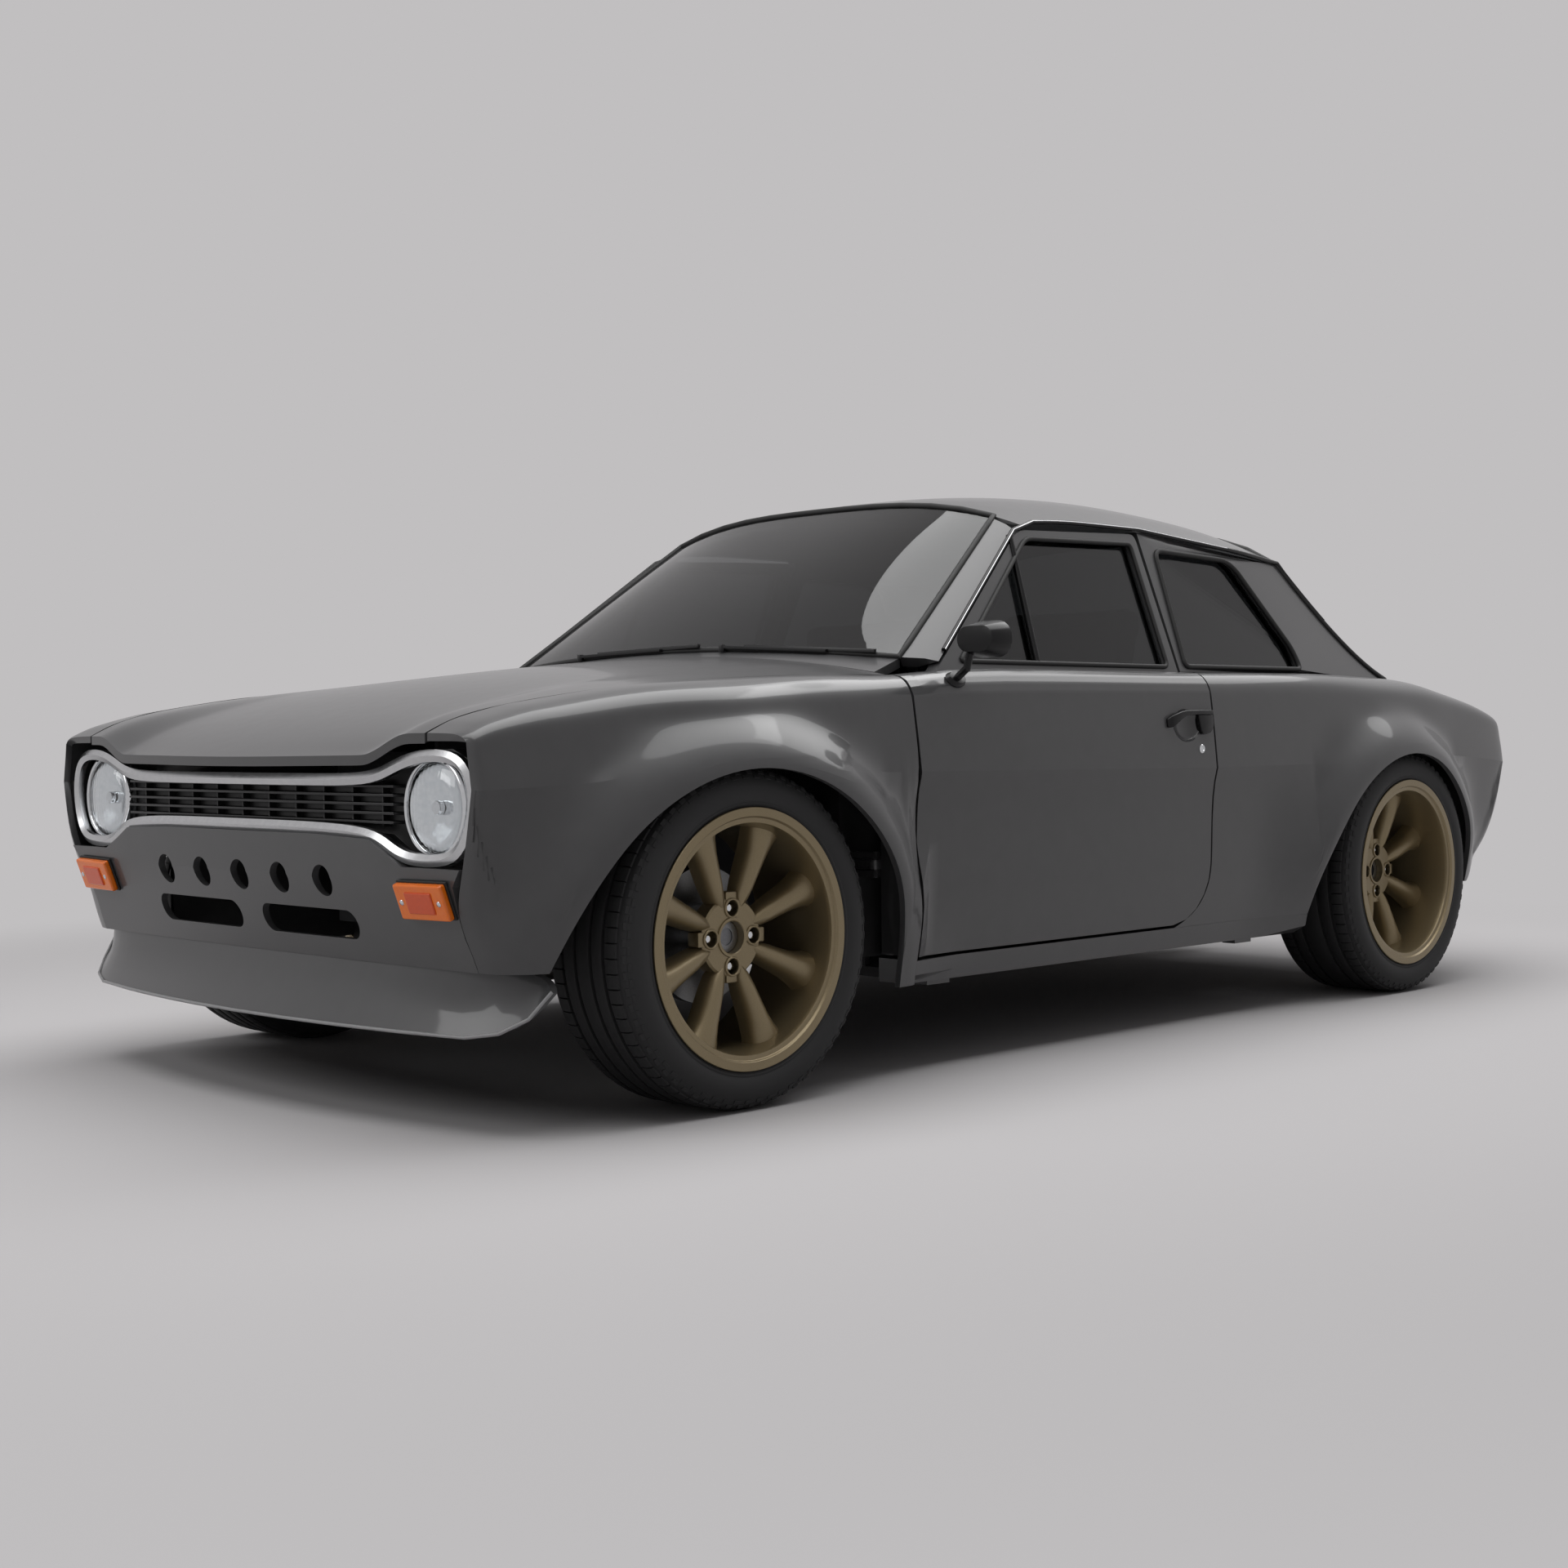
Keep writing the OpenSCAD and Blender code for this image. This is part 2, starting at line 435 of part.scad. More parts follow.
// Rear of the boot lid, turned down over the tail
//   distance behind the tail line, drop
TURN = [[-20, 0], [-6, 6], [4, 18], [10, 38], [12, 72]];
module boot_lid() {
    rows = [-1, -0.94, -0.8, -0.55, -0.28, 0, 0.28, 0.55, 0.8, 0.94, 1];
    top = [for (u = [0, 0.035, 0.25, 0.5, 0.75, 0.92]) let (x = lerp(BOOT_F, RX - 735, u), h = deck_half(x),
        thick = u == 0 ? 7 : LID_THICK) column(
        [for (v = rows) [x, v * h, deck_z(x, v * h)]], [for (v = rows) [x, v * h, deck_z(x, v * h) - thick]])];
    end = [for (t = TURN) let (x = RX - 735 - t[0] - 8, h = deck_half(RX - 735), k = unit(t[1] / 30)) column(
        [for (v = rows) [x - 22 * (1 - v * v) * k, v * h, deck_z(RX - 735, v * h) - t[1]]],
        [for (v = rows) [x - 22 * (1 - v * v) * k + 16 * k, v * h, deck_z(RX - 735, v * h) - t[1] - 18 * (1 - k)]])];
    loft(concat(top, end));
    for (s = [-1, 1])
        lid_arm([BOOT_PIN[0], s * BOOT_PIN[1], BOOT_PIN[2]], -1, 95, 32, 84);
}

// Fixed panels between the lids and the glass
module scuttle() {
    rows = [-1, -0.93, -0.8, -0.6, -0.3, 0, 0.3, 0.6, 0.8, 0.93, 1];
    loft([for (u = [0, 0.5, 1]) column(
        [for (v = rows) let (f = [BONNET_R - shut_gap, v * (DOOR_IN - shut_gap), 0],
            s = screen_low(v) + [-2, 0, -2], x = lerp(f[0], s[0], u), y = lerp(f[1], s[1], u))
            [x, y, lerp(bonnet_z(f[0], f[1]), s[2], u)]],
        [for (v = rows) let (f = [BONNET_R - shut_gap, v * (DOOR_IN - shut_gap), 0],
            s = screen_low(v) + [-2, 0, -2], x = lerp(f[0], s[0], u), y = lerp(f[1], s[1], u))
            [x, y, lerp(bonnet_z(f[0], f[1]), s[2], u) - 20]])]);
    for (s = [-1, 1])
        lid_pin([BONNET_PIN[0], s * BONNET_PIN[1], BONNET_PIN[2]], 29);
}
module rear_deck() {
    rows = [-1, -0.9, -0.7, -0.4, 0, 0.4, 0.7, 0.9, 1];
    loft([for (u = [0, 0.5, 1]) column(
        [for (v = rows) let (a = rear_low(v * 0.998) + [-2, 0, -1], x1 = BOOT_F + shut_gap,
            h = look(SECTIONS, x1, 7) - seam) lerp(a, [x1, v * h, deck_z(x1, v * h)], u)],
        [for (v = rows) let (a = rear_low(v * 0.998) + [-2, 0, -1], x1 = BOOT_F + shut_gap,
            h = look(SECTIONS, x1, 7) - seam) lerp(a, [x1, v * h, deck_z(x1, v * h)], u) - [0, 0, 18]])]);
    for (s = [-1, 1])
        lid_pin([BOOT_PIN[0], s * BOOT_PIN[1], BOOT_PIN[2]], 32);
}

// Nose
function low_edge(y) = lookup(abs(y), [for (i = [len(BONE) - 1:-1:len(BONE) - 6]) BONE[i]]) - seam;
function front_x(y, z) = nose_x(z) + 16 * (1 - pow(unit(abs(y) / 670), 2));
module front_panel() {
    low = low_edge(630);
    half = concat([for (y = [0, 135, 269, 350, 432, 478, 528, 580, 630]) let (z = low_edge(y))
        [y / (skin_y(nose_x(z), z) - seam), z]], [[0.98, low], [1, low]]);
    cols = concat([for (i = [len(half) - 1:-1:1]) [-half[i][0], half[i][1]]], half);
    difference() {
        loft([for (c = cols) let (v = c[0], top = c[1])
            column([for (j = [0:6]) let (z = lerp(285, top, j / 6), h = skin_y(nose_x(z), z) - seam)
                [front_x(v * h, z), v * h, z]],
                [for (j = [0:6]) let (z = lerp(285, top, j / 6), h = skin_y(nose_x(z), z) - seam)
                [front_x(v * h, z) - skin, v * h, z]])]);
        for (i = [-2:2])
            translate([FX + 500, i * 140, 432]) rotate([0, 90, 0]) cylinder(h = 120, r = 29);
        for (s = [-1, 1])
            translate([FX + 460, s * 195, 352]) rotate([0, 90, 0]) linear_extrude(130) union() {
                square([54, 258], center = true);
                for (y = [-129, 129])
                    translate([0, y]) circle(r = 27);
            }
    }
}
// Lip and top edge of the chin spoiler, from the middle to one arch
//   lip x, y, z, top x, y, z
CHIN = [[592, 0, 171, 524, 0, 284.6], [588, 160, 171, 523, 160, 284.6], [576, 320, 171, 519, 320, 284.6],
    [556, 480, 171, 514, 480, 284.6], [529, 640, 172, 506, 610, 284.6], [505, 705, 182, 490, 665, 284.6],
    [472, 745, 207, 466, 702, 284.6], [436, 764, 252, 436, 722, 284.6]];
module chin_spoiler() {
    half = [for (c = CHIN) let (k = (W - 21) / 764, lip = [FX + c[0], c[1] * k, c[2]],
        top = [FX + c[3], c[4] * k, c[5]], mid = lerp(lip, top, 0.5) - [14, 0, 0]) [lip, mid, top, top - [skin, 0, 0], mid - [skin, 0, 0], lip - [skin, 0, 0]]];
    other = [for (i = [len(half) - 1:-1:1]) [for (p = half[i]) [p[0], -p[1], p[2]]]];
    loft(concat(other, half));
}
module rear_panel() {
    cols = [-1, -0.97, -0.945, -0.935, -0.7, -0.45, -0.2, 0, 0.2, 0.45, 0.7, 0.935, 0.945, 0.97, 1];
    loft([for (v = cols) let (top = abs(v) > 0.94 ? lerp(690, 650, (abs(v) - 0.94) / 0.06) : 634)
        column([for (j = [0:7]) let (z = lerp(300, top, j / 7), h = skin_y(tail_x(z), z) - 2 * seam)
            [tail_x(z) - 22 * (1 - v * v), v * h, z]],
            [for (j = [0:7]) let (z = lerp(300, top, j / 7), h = skin_y(tail_x(z), z) - 2 * seam)
            [tail_x(z) - 22 * (1 - v * v) + skin, v * h, z]])]);
}

// Dog-bone loop in front view
//   y, z
BONE = [[0, 626], [260, 626], [424, 627], [480, 645], [546, 668], [640, 672], [690, 650], [712, 600], [706, 540],
    [676, 486], [630, 466], [528, 466], [478, 488], [432, 511], [269, 517], [0, 517]];
function bone(d) = let (n = len(BONE), mid = [582, 568]) [for (i = [0:n - 1]) let (p = BONE[i],
    a = BONE[max(0, i - 1)], b = BONE[min(n - 1, i + 1)], t = (b - a) / norm(b - a)) p + [-t[1], t[0]] * -d];
function bone_loop(d) = let (h = bone(d)) concat(h, [for (i = [len(h) - 2:-1:1]) [-h[i][0], h[i][1]]]);
function bone_x(y) = FX + 585 - 30 * pow(unit(abs(y) / 720), 2.5);
GRILLE_X = FX + 508;
DEEP = 18;
module grille_surround() {
    o = bone_loop(0);
    m = bone_loop(11);
    i = bone_loop(22);
    loft([for (k = [0:len(o) - 1]) [[bone_x(o[k][0]) - 6, o[k][0], o[k][1]], [bone_x(m[k][0]), m[k][0], m[k][1]],
        [bone_x(i[k][0]) - 6, i[k][0], i[k][1]], [bone_x(i[k][0]) - DEEP, i[k][0], i[k][1]],
        [bone_x(m[k][0]) - DEEP, m[k][0], m[k][1]], [bone_x(o[k][0]) - DEEP, o[k][0], o[k][1]]]], true);
}
module grille() {
    translate([GRILLE_X, 0, 0]) rotate([90, 0, 90]) linear_extrude(14) polygon(bone_loop(4));
    o = bone_loop(2);
    i = bone_loop(7);
    loft([for (k = [0:len(o) - 1]) [[GRILLE_X + 4, o[k][0], o[k][1]], [bone_x(o[k][0]) - DEEP - seam, o[k][0], o[k][1]],
        [bone_x(i[k][0]) - DEEP - seam, i[k][0], i[k][1]], [GRILLE_X + 4, i[k][0], i[k][1]]]], true);
    for (z = [540:16:604])
        translate([GRILLE_X + 13, -470, z - 2.5]) cube([28, 940, 5]);
    for (y = [-423:94:423])
        translate([GRILLE_X + 13, y - 2, 532]) cube([18, 4, 80]);
}
module headlamps() {
    for (s = [-1, 1])
        translate([GRILLE_X + 14 + seam, s * lamp_y, lamp_z]) rotate([0, 90, 0]) rotate_extrude() polygon([[0, 0],
            [lamp_r, 0], [lamp_r, 16], [lamp_r - 8, 22], [lamp_r - 14, 20], [60, 30], [30, 34], [0, 35]]);
}
module indicators() {
    for (s = [-1, 1])
        translate([front_x(582, 411) + 1, s * 582, 411]) rotate([0, 20, 0]) rotate([0, 0, s * 2.4])
            translate([0, -66, -33]) cube([18, 132, 66]);
}
module tail_lamps() {
    for (s = [-1, 1])
        loft([for (z = [470, 500, 540, 580, 610]) let (h = skin_y(tail_x(z), z)) [for (c = [[-48, 0.6], [48, 0.6],
            [44, 20], [-44, 20]]) let (y = 585 + c[0]) [tail_x(z) - 22 * (1 - pow(y / h, 2)) - c[1], s * y, z]]]);
}
// Wipers on spindles that stand on the scuttle
//   y of the spindle
WIPER_Y = [-330, 170];
module wipers() {
    for (y = WIPER_Y) {
        a = screen_low(y / 640);
        b = screen_low((y + 400) / 640);
        translate(a + [16, y - a[1], -2]) {
            translate([0, 0, -1.95]) cylinder(h = 15, r = 8);
            rotate([atan2(b[2] - a[2], 400), 0, atan2(a[0] - b[0], 400)]) {
                translate([-5, -4, 5]) cube([9, 300, 6]);
                translate([-12, 60, 7]) cube([8, 360, 8]);
            }
        }
    }
}

// Frame under the panels
FIRE_X = FX - 505;
POST_Y = DOOR_IN - 52;

BAY_Y = 395;
module engine_bay() {
    for (s = [-1, 1]) scale([1, s, 1]) {
        difference() {
            union() {
                translate([FIRE_X, BAY_Y, 255]) cube([1000, 12, 445]);
                translate([FX - 95, BAY_Y, 704]) cube([190, 225, 18]);
            }
            translate([FX, STEER_Y, 690]) cylinder(h = 50, r = 12 + run_gap);
            // front corner, lowered under the bonnet's nose
            translate([FX + 405, BAY_Y - 1, 560]) cube([200, 14, 200]);
        }
        translate([DOOR_F - 130, POST_Y, 235]) cube([230, 30, 545]);
        for (z = HINGE_Z) {
            translate([HINGE_X, HINGE_Y, z]) cylinder(h = 52, r = HINGE_R, center = true);
            for (t = [-1, 1])
                translate([HINGE_X, HINGE_Y, z + t * 18]) linear_extrude(12, center = true)
                    polygon([[-10, 6], [10, 6], [6, POST_Y + 28 - HINGE_Y], [-26, POST_Y + 28 - HINGE_Y]]);
        }
    }
    difference() {
        translate([FIRE_X - 14, 1 - POST_Y, FLOOR_Z + 20 + seam]) cube([14, 2 * POST_Y - 2, 795 - FLOOR_Z - 20 - seam]);
        translate([FIRE_X - 20, -124 - seam, 150]) cube([30, 248 + 2 * seam, FLOOR_Z + 160 + seam - 150]);
        for (s = [-1, 1])
            translate([FIRE_X - 20, s * BONNET_PIN[1] - 27, 735]) cube([30, 54, 200]);
    }
    translate([FX + 470, -407, 255]) cube([25, 814, 40]);
}
FLOOR_Z = sill_z + 6;
HEEL_X = RX + 380;
module floor_pan() {
    y = W - 115 - seam;
    difference() {
        union() {
            translate([HEEL_X, -y, FLOOR_Z]) cube([FIRE_X - HEEL_X, 2 * y, 20]);
            translate([HEEL_X, -124, FLOOR_Z]) cube([FIRE_X - HEEL_X, 248, 160]);
            translate([HEEL_X - 14, -y, FLOOR_Z]) cube([14, 2 * y, 230]);
        }
        translate([HEEL_X - 30, -112, FLOOR_Z - 5]) cube([FIRE_X - HEEL_X + 60, 224, 153]);
    }
}
BOOT_Z = 402;
module boot_floor() {
    translate([RX - 636, -532, BOOT_Z]) cube([HEEL_X - 14 - seam - RX + 636, 1064, 19]);
    translate([RX - 440, -6, 290]) tow_eye();
}
module wheelhouses() {
    for (s = [-1, 1])
        translate([RX - 440, s * (532 + seam + 6) - 6, BOOT_Z]) cube([HEEL_X - 14 - seam - RX + 440, 12, 360]);
}
module tow_eye() {
    difference() {
        translate([-30, 0, -35]) cube([60, 12, BOOT_Z - 250]);
        translate([0, -5, 0]) rotate([-90, 0, 0]) cylinder(h = 30, r = 18);
    }
}

// Glass, trim and cabin
function shrunk(loop, k) = let (c = [for (i = [0:1]) [for (p = loop) p[i]] * [for (p = loop) 1] / len(loop)])
    [for (p = loop) c + (p - c) * k];
module quarter_glass() {
    for (s = [-1, 1])
        scale([1, s, 1]) side_pane(shrunk(quarter_window(), 0.998), 12);
}
module door_glass() {
    side_pane(shrunk(door_window(), 0.998), 12);
}
// Mirror on the shoulder of the left door: pad, stem and housing
module door_mirror() {
    x = FX - 640;
    seat = roll(x, 0.5);
    translate(seat) rotate([-54, 0, 0]) translate([0, 0, 0.3]) {
        scale([1.5, 1, 1]) cylinder(h = 9, r1 = 19, r2 = 15);
        cylinder(h = 40, r = 8);
    }
    translate(seat + [0, 30, 18]) rotate([-16, 0, 0]) cylinder(h = 46, r = 8);
    hull() for (y = [W + 22, W + 62])
        translate([x - 22, y, 880]) rotate([0, 90, 0]) cylinder(h = 50, r1 = 38, r2 = 26, $fn = 24);
}
WHEEL_POS = [FX - 985, 345, 745];
module steering_wheel() {
    translate(WHEEL_POS) rotate([0, -65, 0]) {
        rotate_extrude() translate([178, 0]) circle(r = 14, $fn = 24);
        difference() {
            translate([0, 0, -30]) cylinder(h = 36, r = 34);
            translate([0, 0, -40]) cylinder(h = 36, r = 12 + run_gap);
        }
        for (a = [0, 90, 270])
            rotate([0, 0, a]) translate([20, -12, -6]) cube([150, 24, 6]);
    }
}
module dashboard() {
    rotate([90, 0, 0]) linear_extrude(2 * (POST_Y - seam), center = true) polygon([for (q = [[-575, 786], [-610, 800],
        [-690, 794], [-712, 768], [-690, 600], [-620, 560], [-575, 570]]) [FX + q[0], q[1]]]);
    translate(WHEEL_POS) rotate([0, -65, 0]) {
        translate([0, 0, -400]) cylinder(h = 365, r = 24);
        translate([0, 0, -40]) cylinder(h = 34, r = 12);
    }
}
module front_seats() {
    for (s = [-1, 1])
        translate([FX - 930, s * 345, 0]) rotate([90, 0, 0]) linear_extrude(420, center = true) polygon([[0, FLOOR_Z + 20.4],
            [0, 395], [-25, 415], [-400, 370], [-440, 400], [-560, 880], [-575, 1000], [-640, 1010], [-660, 980],
            [-600, 560], [-530, FLOOR_Z + 20.4]]);
}
module rear_seat() {
    rotate([90, 0, 0]) linear_extrude(1030, center = true) polygon([for (q = [[520, FLOOR_Z + 160.4], [520, 430],
        [480, 450], [180, 425], [160, 440], [40, 780], [-20, 800], [-60, 790], [30, 421.4], [381, 421.4],
        [381, FLOOR_Z + 160.4]]) [RX + q[0], q[1]]]);
}

// Engine, drive and running gear
module drivetrain() {
    translate([FX - 330, -190, 310]) cube([560, 380, 350]);
    translate([FX - 340, 0, 262]) rotate([0, -90, 0]) cylinder(h = 560, r = 60);
    translate([FX - 350, -80, 215]) cube([40, 160, 120]);
    translate([FX - 880, 0, 270]) rotate([0, -90, 0]) cylinder(h = FX - 880 - RX - 80 - seam, r = 32);
}
module exhaust() {
    translate([FX - 250, -225, 156]) rotate([0, -90, 0]) cylinder(h = FX - RX + 430, r = 24);
    translate([RX - 330, -225, 200]) rotate([0, -90, 0]) cylinder(h = 270, r = 62);
    for (x = [FX - 700, RX + 500])
        translate([x, -235, 160]) cube([20, 20, FLOOR_Z - 160 - seam]);
}
module front_beam() {
    translate([FX - 60, -BAY_Y + seam, 225]) cube([120, 2 * BAY_Y - 2 * seam, 62]);
    for (s = [-1, 1]) scale([1, s, 1]) difference() {
        union() {
            translate([FX - 30, 370, 208]) cube([60, STEER_Y - 370, 26]);
            translate([FX, STEER_Y, 208]) cylinder(h = 26, r = 30);
        }
        translate([FX, STEER_Y, 200]) cylinder(h = 50, r = 11 + run_gap);
    }
}
module rear_axle() {
    translate([RX, 0, WZ]) rotate([90, 0, 0]) {
        cylinder(h = 1140, r = 36, center = true);
        cylinder(h = 2 * (lip_y_rear - dish_rear - 20), r = spindle_r, center = true);
        cylinder(h = 170, r = 74, center = true);
    }
    translate([RX + 20, 0, WZ - 40]) rotate([0, 90, 0]) cylinder(h = 60, r = 36);
    for (s = [-1, 1]) {
        translate([RX - 450, s * 440 - 28, 262]) cube([800, 56, 20]);
        translate([RX - 40, s * 440 - 32, 258]) cube([80, 64, 30]);
        for (x = [-450, 310])
            translate([RX + x, s * 440 - 20, 270]) cube([40, 40, BOOT_Z - seam - 270]);
    }
}
module knuckle() {
    hub = lip_y_front - dish_front;
    translate([FX, STEER_Y, 0]) {
        translate([0, 0, 196]) cylinder(h = 60, r = 11);
        translate([0, 0, 240]) cylinder(h = 450, r = strut_r);
        translate([0, 0, 680]) cylinder(h = 50, r = 12);
        translate([0, 0, WZ]) rotate([-90, 0, 0]) cylinder(h = hub - 18 - STEER_Y, r = spindle_r);
        translate([0, 0, WZ]) rotate([-90, 0, 0]) cylinder(h = 60, r = 42);
        translate([-150, 10, 243]) cube([150, 18, 22]);
        translate([-150, 30, WZ - 45]) cube([40, 30, 90]);
        translate([-150, 30, WZ - 12]) cube([130, 14, 24]);
    }
}
module at_wheel(x, y) {
    translate([x, y, WZ]) rotate([-90, 0, 0]) children();
}
// Wheel with its axis along Z and its outer lip at zero
module rim(width, dish) {
    w = width - 6;
    rotate_extrude() polygon([[rim_radius, 0], [rim_radius, -9], [rim_radius - 19, -14], [rim_radius - 19, 14 - w],
        [rim_radius, 9 - w], [rim_radius, -w], [rim_radius - 10, -w], [rim_radius - 29, 16 - w], [rim_radius - 29, -60],
        [rim_radius - 24, -30], [rim_radius - 20, -12], [rim_radius - 14, -5], [rim_radius - 10, 0]]);
    difference() {
        translate([0, 0, -dish - 36]) cylinder(h = 36, r = 74);
        translate([0, 0, -dish - 50]) cylinder(h = 60, r = 30);
        for (i = [1:nuts])
            rotate([0, 0, (i + 0.5) * 360 / nuts]) translate([54, 0, -dish - 22]) cylinder(h = 40, r = 14);
    }
    intersection() {
        translate([0, 0, -dish - 60]) linear_extrude(90) for (i = [1:spokes])
            rotate(i * 360 / spokes) polygon([[60, -19], [110, -16], [170, -22], [196, -34], [rim_radius - 24, -48],
                [rim_radius - 24, 48], [196, 34], [170, 22], [110, 16], [60, 19]]);
        rotate_extrude() polygon([[62, -dish - 34], [62, -dish], [140, -dish + 4], [rim_radius - 26, -dish + 20],
            [rim_radius - 26, -dish - 16], [140, -dish - 26]]);
    }
}
module tyre(width) {
    w = width - 6;
    r = tyre_radius;
    b = rim_radius;
    h = r - b;
    half = [[b - 18.6, -15.6], [b + 1, -10.4], [b + 0.125 * h, -3], [b + 0.325 * h, 1.5], [b + 0.525 * h, 2],
        [b + 0.7 * h, -2], [b + 0.85 * h, -9], [b + 0.95 * h, -18], [r, -32]];
    rotate_extrude($fn = 64) polygon(concat(half, [for (i = [len(half) - 1:-1:0]) [half[i][0], -w - half[i][1]]]));
}
module disc(dish) {
    difference() {
        union() {
            translate([0, 0, -dish - 36 - 70]) cylinder(h = 70, r = 60);
            translate([0, 0, -dish - 36 - 62]) cylinder(h = 20, r = 128);
            translate([0, 0, -dish - 40]) cylinder(h = 24, r = 29);
        }
        translate([0, 0, -dish - 150]) cylinder(h = 200, r = spindle_r + run_gap);
    }
}
module drum(dish) {
    difference() {
        union() {
            translate([0, 0, -dish - 36 - 66]) cylinder(h = 66, r = 118);
            translate([0, 0, -dish - 40]) cylinder(h = 24, r = 29);
        }
        translate([0, 0, -dish - 150]) cylinder(h = 200, r = spindle_r + run_gap);
    }
}

color(paint) front_wing();  // front_wing_left
color(paint) right() front_wing();  // front_wing_right
color(paint) quarter();  // quarter_left
color(paint) right() quarter();  // quarter_right
color(paint) sill();  // sill_left
color(paint) right() sill();  // sill_right
color(paint) door();  // door_left
color(paint) right() door();  // door_right
color(paint) window_side();  // window_side_left
color(paint) right() window_side();  // window_side_right
color(paint) roof();
color(paint) scuttle();
color(paint) rear_deck();
color(paint) front_panel();
color(black) chin_spoiler();
color(paint) rear_panel();
color(clear) windscreen();
color(clear) rear_window();
color(paint) bonnet();
color(paint) boot_lid();
color(silver) grille_surround();
color(black) grille();
color(silver) headlamps();
color([0.9, 0.45, 0.1]) indicators();
color(paint) floor_pan();
color(paint) boot_floor();
color(paint) wheelhouses();
color(paint) engine_bay();
color(clear) quarter_glass();
color(clear) door_glass();  // door_glass_left
color(clear) right() door_glass();  // door_glass_right
color(black) door_mirror();
color(black) steering_wheel();
color(trim) dashboard();
color(trim) front_seats();
color(trim) rear_seat();
color(steel) drivetrain();
color(steel) exhaust();
color(black) front_beam();
color(black) rear_axle();
color(steel) knuckle();  // knuckle_left
color(steel) right() knuckle();  // knuckle_right
color([0.7, 0.1, 0.1]) tail_lamps();
color(black) wipers();
color(bronze) at_wheel(FX, lip_y_front) rim(tyre_width_front, dish_front);  // rim_front_left
color(black) at_wheel(FX, lip_y_front) tyre(tyre_width_front);  // tyre_front_left
color(steel) at_wheel(FX, lip_y_front) disc(dish_front);  // disc_front_left
color(bronze) right() at_wheel(FX, lip_y_front) rim(tyre_width_front, dish_front);  // rim_front_right
color(black) right() at_wheel(FX, lip_y_front) tyre(tyre_width_front);  // tyre_front_right
color(steel) right() at_wheel(FX, lip_y_front) disc(dish_front);  // disc_front_right
color(bronze) at_wheel(RX, lip_y_rear) rim(tyre_width_rear, dish_rear);  // rim_rear_left
color(black) at_wheel(RX, lip_y_rear) tyre(tyre_width_rear);  // tyre_rear_left
color(steel) at_wheel(RX, lip_y_rear) drum(dish_rear);  // drum_rear_left
color(bronze) right() at_wheel(RX, lip_y_rear) rim(tyre_width_rear, dish_rear);  // rim_rear_right
color(black) right() at_wheel(RX, lip_y_rear) tyre(tyre_width_rear);  // tyre_rear_right
color(steel) right() at_wheel(RX, lip_y_rear) drum(dish_rear);  // drum_rear_right
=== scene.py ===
"""Looks of a dark grey two-door saloon car with bubble arches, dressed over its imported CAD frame.

Metres, +X forward, +Y left, +Z up, the same frame as the CAD.
"""
import json
import math

import bmesh
import bpy
from mathutils import Matrix, Vector

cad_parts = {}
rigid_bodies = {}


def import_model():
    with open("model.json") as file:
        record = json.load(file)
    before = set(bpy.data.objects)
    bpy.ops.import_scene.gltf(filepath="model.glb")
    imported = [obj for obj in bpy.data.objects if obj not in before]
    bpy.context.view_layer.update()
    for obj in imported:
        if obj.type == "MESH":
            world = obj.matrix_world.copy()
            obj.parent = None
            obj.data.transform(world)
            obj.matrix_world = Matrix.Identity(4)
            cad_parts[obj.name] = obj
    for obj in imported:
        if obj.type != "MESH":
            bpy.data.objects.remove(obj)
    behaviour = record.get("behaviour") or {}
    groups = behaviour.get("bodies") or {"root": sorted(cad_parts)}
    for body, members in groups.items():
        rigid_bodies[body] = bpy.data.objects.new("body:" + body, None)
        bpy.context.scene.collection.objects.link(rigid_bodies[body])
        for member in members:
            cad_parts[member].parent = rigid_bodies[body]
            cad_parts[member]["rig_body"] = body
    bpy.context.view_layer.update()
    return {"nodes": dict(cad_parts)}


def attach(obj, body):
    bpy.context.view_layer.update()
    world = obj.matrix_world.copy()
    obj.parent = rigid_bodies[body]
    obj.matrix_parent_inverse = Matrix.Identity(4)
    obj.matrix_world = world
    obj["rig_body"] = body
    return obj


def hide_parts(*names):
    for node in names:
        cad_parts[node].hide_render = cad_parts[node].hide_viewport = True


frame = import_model()
scene = bpy.context.scene

# Sizes repeated from the CAD source, in metres
FRONT_AXLE = 1.295
REAR_AXLE = -1.105
HALF_WIDTH = 0.785
HUB_HEIGHT = 0.316
BELT = 0.828
RIM = 0.236
TYRE = 0.316
# Each axle's wheels: place along the car, outer lip from the middle of the car, dish and width
AXLES = {
    "front": (FRONT_AXLE, 0.811, 0.058, 0.226),
    "rear": (REAR_AXLE, 0.813, 0.098, 0.244),
}

# Outline of the cabin, repeated from the CAD source
LEAN = 0.381
SHOULDER = 0.070
TAPER_FROM = REAR_AXLE + 0.510
TAPER = 0.15
TAPER_EASE = 0.060
CANT_TOP = 1.168
CANT_REAR = 1.120
CANT_BEND = REAR_AXLE + 0.897
CANT_FRONT = REAR_AXLE + 1.100
CANT_FRONT_RUN = 0.245
CANT_FRONT_DROP = 0.012
ROOF_FRONT = REAR_AXLE + 1.348
ROOF_REAR = REAR_AXLE + 0.262
ROOF_FRONT_MIDDLE = Vector((REAR_AXLE + 1.375, 0, 1.228))
ROOF_REAR_MIDDLE = Vector((REAR_AXLE + 0.215, 0, 1.226))
ROOF_ROUNDING = 3.2

